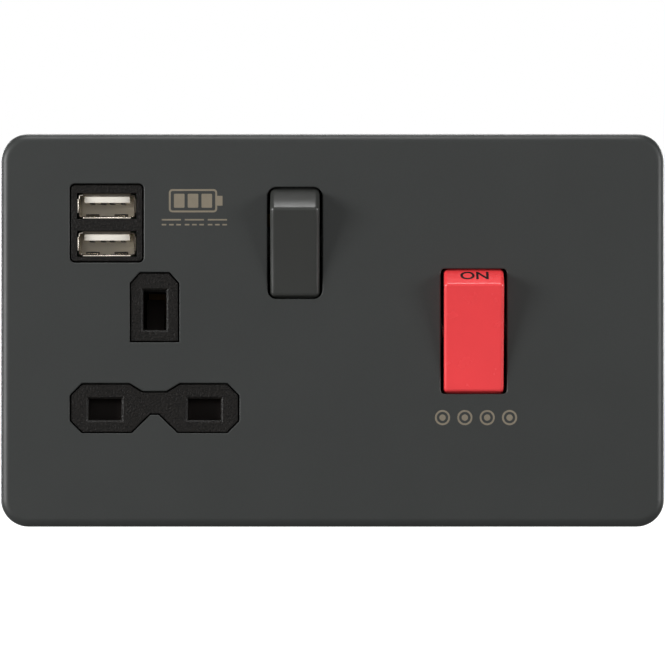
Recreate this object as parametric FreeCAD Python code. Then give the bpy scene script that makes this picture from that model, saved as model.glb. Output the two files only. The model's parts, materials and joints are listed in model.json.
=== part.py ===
"""Cooker control unit: a switched socket, two USB ports and a cooker switch on one wall plate.

Frame: +X right, +Y into the wall, +Z up. The origin lies in the wall plane, halfway between the
two fixing screws. Sizes are in millimetres and angles in degrees. At rest both switches are on,
with the top ends of their rockers standing out.
"""
import FreeCAD
import Part
import math
import os

V = FreeCAD.Vector
X_AXIS = V(1, 0, 0)
Y_AXIS = V(0, 1, 0)
Z_AXIS = V(0, 0, 1)

# Front plate
PLATE_W = 148.6
PLATE_H = 88.0
PLATE_CORNER_R = 6.2
PLATE_EDGE_R = 2.0
PLATE_PROUD = 9.0
SHEET_T = 1.2
OPENING_EDGE_R = 0.25

# Layers behind the plate
CARRIER_T = 2.4
GRID_T = 1.5
FLANGE_T = 2.0
ISLAND_RECESS = 0.4
BEZEL_RECESS = 0.3
INSERT_GAP = 0.3

# Clip frame
CARRIER_SETBACK = 0.6
CARRIER_RIM = 8.0
CARRIER_CLEAR = 0.4
CARRIER_INNER_R = 3.0
UPSTAND_H = 4.0
UPSTAND_T = 1.6
UPSTAND_GAP = 0.25
SNAP_L = 10.0
SNAP_H = 1.0
SNAP_RISE = 2.4
SNAP_X = 40.0
SNAP_Z = 22.0

# Mounting grid
GRID_GAP = 0.2
GRID_LIP_H = 2.2
GRID_LIP_W = 118.0
WINDOW_R = 1.5
GRID_LAP = 3.0

# Screws
BOX_SCREW_SPACING = 120.6
BOX_SCREW_R = 1.75
BOX_SCREW_NECK_CUT = 0.3
BOX_SCREW_NECK_PAST = 0.6
BOX_SCREW_REACH = 22.0
BOX_HEAD_R = 3.4
BOX_HEAD_H = 2.2
BOX_SLOT_GAP = 0.25
BOX_SLOT_SHIFT = 1.5
DRIVE_SLOT_W = 0.9
FRAME_SCREW_R = 1.2
FRAME_SCREW_L = 3.1
FRAME_HEAD_R = 2.0
FRAME_HEAD_H = 1.0
FRAME_SCREW_Z = 25.0
MODULE_SCREW_R = 1.3
MODULE_SCREW_L = 12.0
MODULE_HEAD_R = 2.4
MODULE_HEAD_H = 1.3
BOSS_R = 3.0
COOKER_BOSS_R = 2.6

# Socket face
SOCKET_X = -39.8
PINS_Z = -17.7
PIN_SPACING = 22.23
EARTH_RISE = 22.23
FLAT_HOLE_W = 7.35
FLAT_HOLE_H = 4.7
EARTH_HOLE_W = 5.1
EARTH_HOLE_H = 8.85
HOLE_LEAD = 0.45
EARTH_OPENING_W = 11.12
EARTH_OPENING_UP = 8.5
EARTH_OPENING_DOWN = 7.2
EARTH_CUT_X = 2.2
EARTH_CUT_Z = 2.45
FLAT_OPENING_W = 38.0
FLAT_OPENING_UP = 5.9
FLAT_OPENING_DOWN = 5.3
FLAT_CUT = 2.7
WAIST_UP = 4.1
WAIST_DOWN = 1.2
WAIST_TOP_X = 2.6
WAIST_TOP_SLOPE = 3.0
WAIST_BOTTOM_X = 0.9
WAIST_BOTTOM_SLOPE = 4.2

# Socket housing
LUG_CLEAR = 3.8
SOCKET_WINDOW_LAP = 0.8
SOCKET_RIGHT = 2.6
SOCKET_BOTTOM = -29.5
SOCKET_TOP = 35.0
SOCKET_DEPTH = 24.0
SHOULDER_GAP = 0.8
NECK_GAP = 1.1
HOUSING_R = 1.5
BACK_WALL = 3.0
CHAMBER_WALL = 2.2
CHAMBER_SLOPE = 4.0
REAR_EDGE_R = 0.8
RIB_T = 1.2
RIB_RISE = 3.0
RIB_PITCH = 6.0
SOCKET_FLANGE_LAP = 6.0
SOCKET_FLANGE_RISE = 0.5
FIXING_NOTCH_R = 5.0
SOCKET_SCREWS = [(-51.8, -5.0), (-19.5, -8.0), (-28.5, 17.0)]

# Shutter
SHUTTER_T = 2.1
SHUTTER_GAP = 0.3
SHUTTER_TRAVEL = 6.5
STEM_W = 14.4
LOBE_W = 8.0
LOBE_UP = 2.9
LOBE_DOWN = 2.9
LOBE_SLOPE = 1.8
RAMP_W = 4.0
RAMP_DEPTH = 5.1
RAMP_RISE = 8.4
RAMP_T = 1.6
RAMP_START = 6.0
SPRING_SLOT_W = 3.2
SPRING_SLOT_TOP = 10.5
SPRING_SLOT_L = 13.2
SPRING_R = 1.05
SPRING_BORE_R = 0.65
PEG_L = 1.4

# Contacts and terminals of the socket
STRIP_T = 0.6
STRIP_W = 3.0
STRIP_GAP = 0.3
LEAF_GAP = 4.3
LEAF_W = 6.4
LEAF_FRONT = 0.0
LEAF_LIP = 0.7
LEAF_LIP_L = 1.4
EARTH_LEAF_W = 7.6
EARTH_LEAF_FRONT = 2.2
EARTH_LEAF_L = 12.4
NEUTRAL_DROP = 6.8
TERMINAL_W = 8.0
TERMINAL_H = 9.0
TERMINAL_D = 10.2
TERMINAL_BORE_R = 2.1
TERMINAL_BORE_IN = 4.6
TERMINAL_SCREW_R = 1.4
TERMINAL_HEAD_R = 2.2
TERMINAL_HEAD_H = 1.4
TERMINAL_Z = 27.0
LIVE_TERMINAL_X = -24.0
NEUTRAL_TERMINAL_X = -33.0
EARTH_TERMINAL_Z = -25.0
EARTH_TERMINAL_D = 7.0
EARTH_TERMINAL_H = 7.0
EARTH_BORE_IN = 3.4
GRID_TERMINAL_X = 6.9
GRID_TERMINAL_Z = -20.0
GRID_TERMINAL_W = 6.0
GRID_TERMINAL_D = 9.4
GRID_BORE_IN = 5.2
FIT = 0.1

# USB ports
USB_X = -50.5
USB_Z = 24.0
USB_OPENING_W = 16.6
USB_OPENING_H = 17.7
USB_OPENING_R = 1.2
PORT_PITCH = 8.45
PORT_DROP = 0.4
SHELL_W = 13.2
SHELL_H = 5.6
SHELL_T = 0.25
SHELL_RECESS = 0.3
LIP_FLARE = 0.25
LIP_L = 0.7
LIP_CORNER = 1.0
FINGER_SLOT_W = 3.6
FINGER_W = 3.0
FINGER_X = 3.2
FINGER_L = 5.0
FINGER_LIFT = 0.8
FINGER_TIP = 0.3
FINGER_BEND = 1.0
TONGUE_W = 10.2
TONGUE_T = 1.4
TONGUE_DROP = 0.15
TONGUE_SETBACK = 1.2
TONGUE_HOLDER_D = 3.6
USB_PIN_W = 1.0
USB_PIN_T = 0.3
USB_PIN_X = [-3.5, -1.0, 1.0, 3.5]
USB_CASE_W = 20.0
USB_CASE_H = 20.4
USB_CASE_DEPTH = 20.0
USB_CASE_T = 1.4
USB_FLANGE_LAP = 0.4
USB_WINDOW_LAP = 0.8
USB_BOARD_Y = 4.6
USB_BOARD_T = 1.2
USB_LEG_T = 1.0
USB_LEG_L = 7.4
USB_NIB = 0.9
USB_NIB_L = 1.4
CORE_CLEAR = 1.1
CORE_H = 8.0
CORE_D = 7.5
CAPACITOR_R = 2.4
CAPACITOR_L = 9.5

# Socket switch, with the small rocker
SMALL_X = -8.4
SMALL_Z = 19.55
SMALL_W = 11.0
SMALL_HALF_L = 9.88
SMALL_REACH = 8.47
SMALL_THROW = 13.7
SMALL_OPENING_W = 12.3
SMALL_OPENING_H = 25.0
SMALL_OPENING_R = 2.0
SMALL_EDGE_R = 1.05
SMALL_POLE_SHIFT = 2.8
SMALL_PLUNGER_R = 1.3
SMALL_PLUNGER_TIP = 9.5
SMALL_SEESAW_W = 3.6
SMALL_SEESAW_L = 15.0
SMALL_SEESAW_T = 0.8
SMALL_KNUCKLE_R = 1.2
SMALL_KNUCKLE_IN = 1.45
SMALL_BUTTON_R = 1.1
SMALL_SWITCH_W = 17.2

# Cooker switch, with the large rocker
LARGE_X = 31.6
LARGE_Z = -0.2
LARGE_W = 13.35
LARGE_HALF_L = 12.05
LARGE_REACH = 8.07
LARGE_THROW = 9.8
LARGE_OPENING_W = 14.8
LARGE_OPENING_H = 28.0
LARGE_OPENING_R = 0.9
LARGE_EDGE_R = 0.8
LARGE_POLE_SHIFT = 3.6
LARGE_PLUNGER_R = 1.6
LARGE_PLUNGER_TIP = 12.0
LARGE_SEESAW_W = 5.0
LARGE_SEESAW_L = 20.0
LARGE_SEESAW_T = 1.2
LARGE_KNUCKLE_R = 1.5
LARGE_KNUCKLE_IN = 2.0
LARGE_BUTTON_R = 1.6
LARGE_SWITCH_W = 19.4
COOKER_W = 40.8
COOKER_H = 63.0
COOKER_DEPTH = 27.0
COOKER_SCREW_IN = 5.8
COOKER_STRIP_T = 1.2
COOKER_STRIP_W = 5.0
COOKER_TERMINAL_W = 11.0
COOKER_TERMINAL_H = 12.0
COOKER_TERMINAL_D = 11.0
COOKER_TERMINAL_SHIFT_X = 9.0
COOKER_TERMINAL_SHIFT_Z = 22.3
COOKER_BORE_R = 3.3
COOKER_BORE_IN = 4.6
COOKER_SCREW_R = 2.0
COOKER_SCREW_PAIR = 6.0
COOKER_SCREW_PROUD = 0.5

# Both switches
PIVOT_IN = 5.5
ROCKER_SAG = 0.35
ROCKER_WALL = 1.5
ROCKER_SKIRT_ANGLE = 96.0
ROCKER_SIDE_GAP = 0.8
ROCKER_END_GAP = 0.35
TRUNNION_R = 1.5
TRUNNION_BITE = 1.6
CHEEK_T = 2.0
CHEEK_GAP = 0.25
CHEEK_PAST = 3.0
BEAM_H = 4.4
BEAM_D = 3.6
TUBE_WALL = 0.8
TUBE_L = 5.0
PLUNGER_L = 7.0
PLUNGER_GAP = 0.15
SEESAW_THROW = 9.0
BUTTON_H = 0.65
BUTTON_INSET = 0.9
BUTTON_GAP = 0.06
CONTACT_PAD_R_MORE = 0.3

# Depths worked out from the layers
FACE_Y = -PLATE_PROUD
SHEET_BACK_Y = FACE_Y + SHEET_T
GRID_BACK_Y = -CARRIER_T
GRID_FRONT_Y = GRID_BACK_Y - GRID_T
FLANGE_FRONT_Y = GRID_FRONT_Y - FLANGE_T
ISLAND_Y = FACE_Y + ISLAND_RECESS
BEZEL_Y = FACE_Y + BEZEL_RECESS
PIVOT_Y = FACE_Y + PIVOT_IN
SHUTTER_FRONT_Y = GRID_FRONT_Y + SHUTTER_GAP
SHUTTER_BACK_Y = SHUTTER_FRONT_Y + SHUTTER_T
RECESS_Y = SHUTTER_BACK_Y + FIT * 2
PAST = 1.0

# Places worked out from the socket
LIVE_X = SOCKET_X + PIN_SPACING / 2
NEUTRAL_X = SOCKET_X - PIN_SPACING / 2
EARTH_Z = PINS_Z + EARTH_RISE
BOX_SCREW_X = BOX_SCREW_SPACING / 2
SOCKET_LEFT = LUG_CLEAR - BOX_SCREW_X
INNER_W = PLATE_W - 2 * SHEET_T - 2 * UPSTAND_GAP
INNER_H = PLATE_H - 2 * SHEET_T - 2 * UPSTAND_GAP
GRID_W = INNER_W - 2 * UPSTAND_T - 2 * GRID_GAP
GRID_H = INNER_H - 2 * UPSTAND_T - 2 * GRID_GAP
CARRIER_W = PLATE_W - 2 * CARRIER_SETBACK
CARRIER_H = PLATE_H - 2 * CARRIER_SETBACK
FRAME_SCREW_X = (GRID_W + CARRIER_W - 2 * CARRIER_RIM) / 4
USB_MID_Z = USB_Z - PORT_DROP
USB_LEG_W = PORT_PITCH - SHELL_H - 4 * FIT
TUBE_W = SHELL_W - 2 * LIP_FLARE
TUBE_H = SHELL_H - 2 * LIP_FLARE
SOCKET_SHOULDER = USB_MID_Z - USB_CASE_H / 2 - SHOULDER_GAP
SOCKET_NECK_LEFT = USB_X + USB_CASE_W / 2 + NECK_GAP


class Switch:
    """Sizes of one rocker switch, worked out from its driving dimensions."""

    def __init__(self, x, z, width, half_l, reach, throw, opening, edge_r, poles, plunger, seesaw,
                 knuckle, button_r, strip):
        self.x, self.z = x, z
        self.width = width
        self.half_l = half_l
        self.reach = reach
        self.throw = throw
        self.opening_w, self.opening_h, self.opening_r = opening
        self.edge_r = edge_r
        self.pole_shift = poles
        self.plunger_r, self.plunger_tip = plunger
        self.seesaw_w, self.seesaw_l, self.seesaw_t = seesaw
        self.knuckle_r, self.knuckle_in = knuckle
        self.button_r = button_r
        self.strip_w, self.strip_t = strip
        self.end_r = math.hypot(half_l, reach)
        self.slot_half_w = width / 2 + ROCKER_SIDE_GAP
        self.slot_half_h = self.end_r + ROCKER_END_GAP
        self.seesaw_y = PIVOT_Y + self.plunger_tip + PLUNGER_GAP
        self.axis_y = self.seesaw_y + self.knuckle_in
        self.button_z = self.seesaw_l / 2 - BUTTON_INSET - button_r
        turn = math.radians(SEESAW_THROW)
        button_in = self.seesaw_t + BUTTON_H - self.knuckle_in
        touch = button_in * math.cos(turn) + (self.button_z + button_r) * math.sin(turn)
        self.pad_y = self.axis_y + touch + BUTTON_GAP
        self.floor_y = self.pad_y + BUTTON_H * 2 + self.strip_t
        self.poles = [x - poles, x + poles]

    def turned(self, shape, angle):
        """The shape turned about the rocker's pivot."""
        shape.rotate(V(self.x, PIVOT_Y, self.z), X_AXIS, angle)
        return shape

    def tilted(self, shape, angle):
        """The shape turned about the axis of the see-saw contacts."""
        shape.rotate(V(self.x, self.axis_y, self.z), X_AXIS, angle)
        return shape


SMALL = Switch(
    SMALL_X, SMALL_Z, SMALL_W, SMALL_HALF_L, SMALL_REACH, SMALL_THROW,
    (SMALL_OPENING_W, SMALL_OPENING_H, SMALL_OPENING_R), SMALL_EDGE_R, SMALL_POLE_SHIFT,
    (SMALL_PLUNGER_R, SMALL_PLUNGER_TIP), (SMALL_SEESAW_W, SMALL_SEESAW_L, SMALL_SEESAW_T),
    (SMALL_KNUCKLE_R, SMALL_KNUCKLE_IN), SMALL_BUTTON_R, (STRIP_W, STRIP_T))
LARGE = Switch(
    LARGE_X, LARGE_Z, LARGE_W, LARGE_HALF_L, LARGE_REACH, LARGE_THROW,
    (LARGE_OPENING_W, LARGE_OPENING_H, LARGE_OPENING_R), LARGE_EDGE_R, LARGE_POLE_SHIFT,
    (LARGE_PLUNGER_R, LARGE_PLUNGER_TIP), (LARGE_SEESAW_W, LARGE_SEESAW_L, LARGE_SEESAW_T),
    (LARGE_KNUCKLE_R, LARGE_KNUCKLE_IN), LARGE_BUTTON_R, (COOKER_STRIP_W, COOKER_STRIP_T))
NEUTRAL_POLE_X, LIVE_POLE_X = SMALL.poles[1], SMALL.poles[0]
STRIP_BACK_Y = SMALL.floor_y
STRIP_FRONT_Y = STRIP_BACK_Y - STRIP_T
EARTH_WEB_Y = EARTH_LEAF_FRONT + EARTH_LEAF_L
EARTH_BACK_Y = EARTH_WEB_Y + STRIP_T
COOKER_FLOOR_Y = LARGE.floor_y


def block(x0, x1, y0, y1, z0, z1):
    """Box between two corners."""
    return Part.makeBox(x1 - x0, y1 - y0, z1 - z0, V(x0, y0, z0))


def centred(x, z, w, h, y0, y1):
    """Box about a middle in the XZ plane, between two depths."""
    return block(x - w / 2, x + w / 2, y0, y1, z - h / 2, z + h / 2)


def rounded(x, z, w, h, r, y0, y1):
    """Box like centred, with its four edges along Y rounded."""
    solid = centred(x, z, w, h, y0, y1)
    return solid.makeFillet(r, [e for e in solid.Edges if runs_along_y(e)])


def runs_along_y(edge):
    """Whether an edge is straight and runs along Y."""
    box = edge.BoundBox
    return box.XLength < 0.01 and box.ZLength < 0.01


def edges_at(shape, y):
    """Edges of a shape that lie at one depth."""
    return [e for e in shape.Edges if abs(e.BoundBox.YMin - y) < 0.01 and e.BoundBox.YLength < 0.01]


def face_of(points):
    """Flat face of a closed outline of vectors."""
    return Part.Face(Part.makePolygon(points + points[:1]))


def front_form(outline, y0, y1, gap=0.0):
    """Solid of an outline of (x, z), drawn in by a gap, between two depths."""
    face = face_of([V(x, y0, z) for x, z in outline])
    if gap:
        face = face.makeOffset2D(-gap, join=2)
    return face.extrude(V(0, y1 - y0, 0))


def side_form(outline, x0, x1):
    """Solid of an outline of (y, z) between two places across."""
    return face_of([V(x0, y, z) for y, z in outline]).extrude(V(x1 - x0, 0, 0))


def top_form(outline, z0, z1):
    """Solid of an outline of (x, y) between two heights."""
    return face_of([V(x, y, z0) for x, y in outline]).extrude(V(0, 0, z1 - z0))


def rod(x, y, z, r, length, axis=Y_AXIS):
    """Round bar from a point along an axis."""
    return Part.makeCylinder(r, length, V(x, y, z), axis)


def joined(shapes):
    """One shape fused from several."""
    whole = shapes[0]
    for shape in shapes[1:]:
        whole = whole.fuse(shape)
    return whole.removeSplitter()


def without(shape, cuts):
    """A shape with several others cut out of it."""
    for cut in cuts:
        shape = shape.cut(cut)
    return shape


def slotted_screw(x, z, head_r, head_h, shank_r, y_seat, length):
    """Screw driven along +Y whose head seats at a depth, with a slot across the head."""
    head = rod(x, y_seat - head_h, z, head_r, head_h)
    head = head.makeFillet(head_h * 0.4, edges_at(head, y_seat - head_h))
    slot = centred(x, z, head_r * 3, DRIVE_SLOT_W, y_seat - head_h - PAST, y_seat - head_h / 2)
    return without(joined([head, rod(x, y_seat, z, shank_r, length)]), [slot])


def earth_outline():
    """Outline of the opening round the earth hole."""
    w, x = EARTH_OPENING_W / 2, SOCKET_X
    top, bottom = EARTH_Z + EARTH_OPENING_UP, EARTH_Z - EARTH_OPENING_DOWN
    return [
        (x - w, bottom), (x - w, top - EARTH_CUT_Z), (x - w + EARTH_CUT_X, top),
        (x + w - EARTH_CUT_X, top), (x + w, top - EARTH_CUT_Z), (x + w, bottom)]


def flat_outline():
    """Outline of the waisted opening round the line and neutral holes."""
    w, top, bottom = FLAT_OPENING_W / 2, FLAT_OPENING_UP, -FLAT_OPENING_DOWN
    half = [
        (WAIST_TOP_X, WAIST_UP), (WAIST_TOP_X + WAIST_TOP_SLOPE, top), (w - FLAT_CUT, top),
        (w, top - FLAT_CUT), (w, bottom + FLAT_CUT), (w - FLAT_CUT, bottom),
        (WAIST_BOTTOM_X + WAIST_BOTTOM_SLOPE, bottom), (WAIST_BOTTOM_X, -WAIST_DOWN)]
    whole = half + [(-x, z) for x, z in reversed(half)]
    return [(SOCKET_X + x, PINS_Z + z) for x, z in whole]


def switch_opening(switch, y0, y1):
    """Cutter for the plate's opening round a rocker."""
    return rounded(switch.x, switch.z, switch.opening_w, switch.opening_h, switch.opening_r, y0, y1)


def front_plate():
    """Sheet tray with a rounded front edge, its skirt and five openings."""
    tray = rounded(0, 0, PLATE_W, PLATE_H, PLATE_CORNER_R, FACE_Y, GRID_BACK_Y)
    tray = tray.makeFillet(PLATE_EDGE_R, edges_at(tray, FACE_Y))
    hollow = rounded(
        0, 0, PLATE_W - 2 * SHEET_T, PLATE_H - 2 * SHEET_T, PLATE_CORNER_R - SHEET_T,
        SHEET_BACK_Y, GRID_BACK_Y + PAST)
    inner_r = max(PLATE_EDGE_R - SHEET_T, SHEET_T / 3)
    hollow = hollow.makeFillet(inner_r, edges_at(hollow, SHEET_BACK_Y))
    y0, y1 = FACE_Y - PAST, SHEET_BACK_Y + PAST
    tray = without(tray, [
        hollow,
        rounded(USB_X, USB_Z, USB_OPENING_W, USB_OPENING_H, USB_OPENING_R, y0, y1),
        front_form(earth_outline(), y0, y1),
        front_form(flat_outline(), y0, y1),
        switch_opening(SMALL, y0, y1),
        switch_opening(LARGE, y0, y1)])
    flat_w, flat_h = PLATE_W / 2 - PLATE_EDGE_R - PAST, PLATE_H / 2 - PLATE_EDGE_R - PAST
    rims = [
        e for e in edges_at(tray, FACE_Y)
        if abs(e.BoundBox.Center.x) < flat_w and abs(e.BoundBox.Center.z) < flat_h]
    return tray.makeFillet(OPENING_EDGE_R, rims)


def snap_places():
    """Middle, length along X and length along Z of each snap rib on the upstand."""
    x, z = INNER_W / 2, INNER_H / 2
    along = [(sx * SNAP_X, sz * z, SNAP_L, 2 * UPSTAND_GAP) for sx in (-1, 0, 1) for sz in (-1, 1)]
    up = [(sx * x, sz * SNAP_Z, 2 * UPSTAND_GAP, SNAP_L) for sx in (-1, 1) for sz in (-1, 1)]
    return along + up


def clip_frame():
    """Carrier on the wall, with an upstand whose ribs hold the front plate."""
    corner = PLATE_CORNER_R - CARRIER_SETBACK
    flange = rounded(0, 0, CARRIER_W, CARRIER_H, corner, GRID_BACK_Y, 0)
    inner = PLATE_CORNER_R - SHEET_T - UPSTAND_GAP
    ring = rounded(0, 0, INNER_W, INNER_H, inner, GRID_BACK_Y - UPSTAND_H, GRID_BACK_Y)
    hollow = rounded(
        0, 0, INNER_W - 2 * UPSTAND_T, INNER_H - 2 * UPSTAND_T, inner - UPSTAND_T,
        GRID_BACK_Y - UPSTAND_H - PAST, GRID_BACK_Y)
    rib_y = GRID_BACK_Y - SNAP_RISE
    ribs = [centred(x, z, w, h, rib_y, rib_y + SNAP_H) for x, z, w, h in snap_places()]
    opening = rounded(
        0, 0, CARRIER_W - 2 * CARRIER_RIM, 2 * (modules_top() + CARRIER_CLEAR), CARRIER_INNER_R,
        GRID_BACK_Y - PAST, PAST)
    holes = [
        rod(x, GRID_BACK_Y, z, FRAME_SCREW_R, CARRIER_T + PAST) for x, z in frame_screw_places()]
    return without(joined([flange, ring.cut(hollow)] + ribs), [opening] + holes)


def modules_top():
    """How far the highest of the modules behind the clip frame reaches from the middle."""
    return max(SOCKET_TOP, USB_MID_Z + USB_CASE_H / 2, abs(LARGE_Z) + COOKER_H / 2)


def frame_screw_places():
    """Where the four screws hold the grid on the clip frame."""
    return [(sx * FRAME_SCREW_X, sz * FRAME_SCREW_Z) for sx in (-1, 1) for sz in (-1, 1)]


def usb_window():
    """Middle and size of the grid's window for the USB case."""
    return USB_X, USB_MID_Z, USB_CASE_W - 2 * USB_WINDOW_LAP, USB_CASE_H - 2 * USB_WINDOW_LAP


def mounting_grid():
    """Steel plate behind the mouldings, with windows, slotted holes and two folded lips."""
    y0, y1 = GRID_FRONT_Y - PAST, GRID_BACK_Y + PAST
    corner = PLATE_CORNER_R - SHEET_T - UPSTAND_GAP - UPSTAND_T - GRID_GAP
    sheet = rounded(0, 0, GRID_W, GRID_H, corner, GRID_FRONT_Y, GRID_BACK_Y)
    lips = [
        block(-GRID_LIP_W / 2, GRID_LIP_W / 2, GRID_FRONT_Y - GRID_LIP_H, GRID_FRONT_Y, z, z + GRID_T)
        for z in (-GRID_H / 2, GRID_H / 2 - GRID_T)]
    socket_x0, socket_x1 = SOCKET_LEFT + SOCKET_WINDOW_LAP, SOCKET_RIGHT - GRID_T
    socket_z0, socket_z1 = SOCKET_BOTTOM + GRID_T, SOCKET_SHOULDER - GRID_T
    x, z, w, h = usb_window()
    windows = [
        rounded(
            (socket_x0 + socket_x1) / 2, (socket_z0 + socket_z1) / 2, socket_x1 - socket_x0,
            socket_z1 - socket_z0, WINDOW_R, y0, y1),
        rounded(SMALL.x, SMALL.z, SMALL_SWITCH_W, 2 * SMALL.slot_half_h, WINDOW_R, y0, y1),
        rounded(x, z, w, h, WINDOW_R, y0, y1),
        rounded(
            LARGE.x, LARGE.z, COOKER_W - 2 * GRID_LAP, COOKER_H - 2 * GRID_LAP, WINDOW_R, y0, y1)]
    slots = []
    slot_r = BOX_SCREW_R + BOX_SLOT_GAP
    for side in (-1, 1):
        for shift in (-BOX_SLOT_SHIFT, BOX_SLOT_SHIFT):
            slots.append(rod(side * BOX_SCREW_X + shift, y0, 0, slot_r, y1 - y0))
        slots.append(centred(side * BOX_SCREW_X, 0, 2 * BOX_SLOT_SHIFT, 2 * slot_r, y0, y1))
    holes = [rod(x, y0, z, FRAME_SCREW_R, y1 - y0) for x, z in frame_screw_places()]
    holes += [rod(x, y0, z, MODULE_SCREW_R, y1 - y0) for x, z in SOCKET_SCREWS]
    return without(joined([sheet] + lips), windows + slots + holes)


def frame_screws():
    """Four short screws that hold the grid on the clip frame."""
    screws = [
        slotted_screw(x, z, FRAME_HEAD_R, FRAME_HEAD_H, FRAME_SCREW_R, GRID_FRONT_Y, FRAME_SCREW_L)
        for x, z in frame_screw_places()]
    return Part.makeCompound(screws)


def fixing_screw(side):
    """Long screw into the wall box; its unthreaded neck passes the grid's slotted hole."""
    x = side * BOX_SCREW_X
    neck_end = GRID_BACK_Y + BOX_SCREW_NECK_PAST
    screw = slotted_screw(
        x, 0, BOX_HEAD_R, BOX_HEAD_H, BOX_SCREW_R - BOX_SCREW_NECK_CUT, GRID_FRONT_Y,
        neck_end - GRID_FRONT_Y)
    return joined([screw, rod(x, neck_end, 0, BOX_SCREW_R, BOX_SCREW_REACH - neck_end)])


def pin_hole(x, z, w, h):
    """Cutter for a pin hole with a sloped lead-in at the face."""
    straight = centred(x, z, w, h, ISLAND_Y - PAST, GRID_FRONT_Y + PAST)
    wires = []
    for y, more in ((ISLAND_Y - HOLE_LEAD, HOLE_LEAD * 2), (ISLAND_Y + HOLE_LEAD, 0)):
        half_w, half_h = w / 2 + more, h / 2 + more
        corners = [(-half_w, -half_h), (half_w, -half_h), (half_w, half_h), (-half_w, half_h)]
        points = [V(x + dx, y, z + dz) for dx, dz in corners]
        wires.append(Part.makePolygon(points + points[:1]))
    return straight.fuse(Part.makeLoft(wires, True, True))


def cheeks(switch):
    """Two lugs behind a front moulding that carry the rocker's trunnions."""
    lugs = []
    for side in (-1, 1):
        inner = switch.x + side * (switch.width / 2 + CHEEK_GAP)
        outer = switch.x + side * (switch.slot_half_w + CHEEK_T)
        x0, x1 = min(inner, outer), max(inner, outer)
        bar = block(
            x0, x1, FLANGE_FRONT_Y, PIVOT_Y, switch.z - CHEEK_PAST, switch.z + CHEEK_PAST)
        nose = rod(x0, PIVOT_Y, switch.z, CHEEK_PAST, x1 - x0, X_AXIS)
        hole = rod(x0 - PAST, PIVOT_Y, switch.z, TRUNNION_R + FIT, x1 - x0 + 2 * PAST, X_AXIS)
        lugs.append(bar.fuse(nose).cut(hole))
    return lugs


def rocker_slot(switch, y0, y1):
    """Cutter for the slot that a rocker swings in."""
    return centred(switch.x, switch.z, 2 * switch.slot_half_w, 2 * switch.slot_half_h, y0, y1)


def trunnion_bore(switch):
    """Cutter along the pivot that keeps a rocker's trunnions clear."""
    half = switch.slot_half_w + CHEEK_T
    return rod(switch.x - half, PIVOT_Y, switch.z, TRUNNION_R + FIT, 2 * half, X_AXIS)


def screw_seat(x, z):
    """Cutter for a module screw's head and shank in a front moulding."""
    head = rod(x, FLANGE_FRONT_Y - PAST, z, MODULE_HEAD_R + FIT, MODULE_HEAD_H + PAST)
    return head.fuse(rod(x, FLANGE_FRONT_Y, z, MODULE_SCREW_R, FLANGE_T + GRID_T + PAST))


def module_screws(places):
    """Screws that clamp a front moulding and its base on the grid."""
    seat = FLANGE_FRONT_Y + MODULE_HEAD_H
    return Part.makeCompound([
        slotted_screw(x, z, MODULE_HEAD_R, MODULE_HEAD_H, MODULE_SCREW_R, seat, MODULE_SCREW_L)
        for x, z in places])


def socket_front():
    """Black front moulding: flange, two islands with the pin holes, cheeks and bosses."""
    y0, y1 = FLANGE_FRONT_Y, GRID_FRONT_Y
    left = SOCKET_LEFT - SOCKET_FLANGE_LAP
    right, top = SOCKET_RIGHT + SOCKET_FLANGE_RISE, SOCKET_TOP + SOCKET_FLANGE_RISE
    bottom = SOCKET_BOTTOM - SOCKET_FLANGE_RISE
    shoulder = SOCKET_SHOULDER + SOCKET_FLANGE_RISE
    bosses = [rod(x, y1, z, BOSS_R, GRID_T) for x, z in SOCKET_SCREWS[:2]]
    body = joined([
        block(left, right, y0, y1, bottom, shoulder),
        block(SOCKET_NECK_LEFT, right, y0, y1, bottom, top),
        front_form(earth_outline(), ISLAND_Y, y1, INSERT_GAP),
        front_form(flat_outline(), ISLAND_Y, y1, INSERT_GAP)] + bosses)
    flat_holes = [pin_hole(x, PINS_Z, FLAT_HOLE_W, FLAT_HOLE_H) for x in (LIVE_X, NEUTRAL_X)]
    body = without(body, flat_holes + [
        pin_hole(SOCKET_X, EARTH_Z, EARTH_HOLE_W, EARTH_HOLE_H),
        rocker_slot(SMALL, y0 - PAST, y1 + PAST),
        rod(-BOX_SCREW_X, y0 - PAST, 0, FIXING_NOTCH_R, FLANGE_T + 2 * PAST)])
    body = joined([body] + cheeks(SMALL))
    return without(body, [screw_seat(x, z) for x, z in SOCKET_SCREWS] + [trunnion_bore(SMALL)])


def stem_top():
    """Height at which the shutter's stem ends and its ramp starts."""
    return EARTH_Z - RAMP_START


def lobe_span():
    """Left and right ends of the shutter's two lobes."""
    return NEUTRAL_X - LOBE_W / 2, LIVE_X + LOBE_W / 2


def spring_slot():
    """Bottom and top of the shutter's slot for its spring."""
    top = EARTH_Z - SPRING_SLOT_TOP
    return top - SPRING_SLOT_L, top


def shutter():
    """Sliding plate behind the pin holes, with the ramp that the earth pin pushes."""
    y0, y1 = SHUTTER_FRONT_Y, SHUTTER_BACK_Y
    low, high = PINS_Z - LOBE_DOWN, PINS_Z + LOBE_UP
    left, right = lobe_span()
    stem = centred(
        SOCKET_X, (low + stem_top()) / 2, STEM_W, stem_top() - low, y0, y1)
    lobes = side_form(
        [(y0, low), (y1, low), (y1, high), ((y0 + y1) / 2, high), (y0, high - LOBE_SLOPE)],
        left, right)
    top = stem_top() + RAMP_RISE
    ramp = side_form(
        [(y0, stem_top()), (y0 + RAMP_DEPTH, top), (y0 + RAMP_DEPTH, top - RAMP_T),
         (y1, stem_top())],
        SOCKET_X - RAMP_W / 2, SOCKET_X + RAMP_W / 2)
    z0, z1 = spring_slot()
    slot = centred(SOCKET_X, (z0 + z1) / 2, SPRING_SLOT_W, z1 - z0, y0 - PAST, y1 + PAST)
    return joined([stem, lobes, ramp]).cut(slot)


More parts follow.
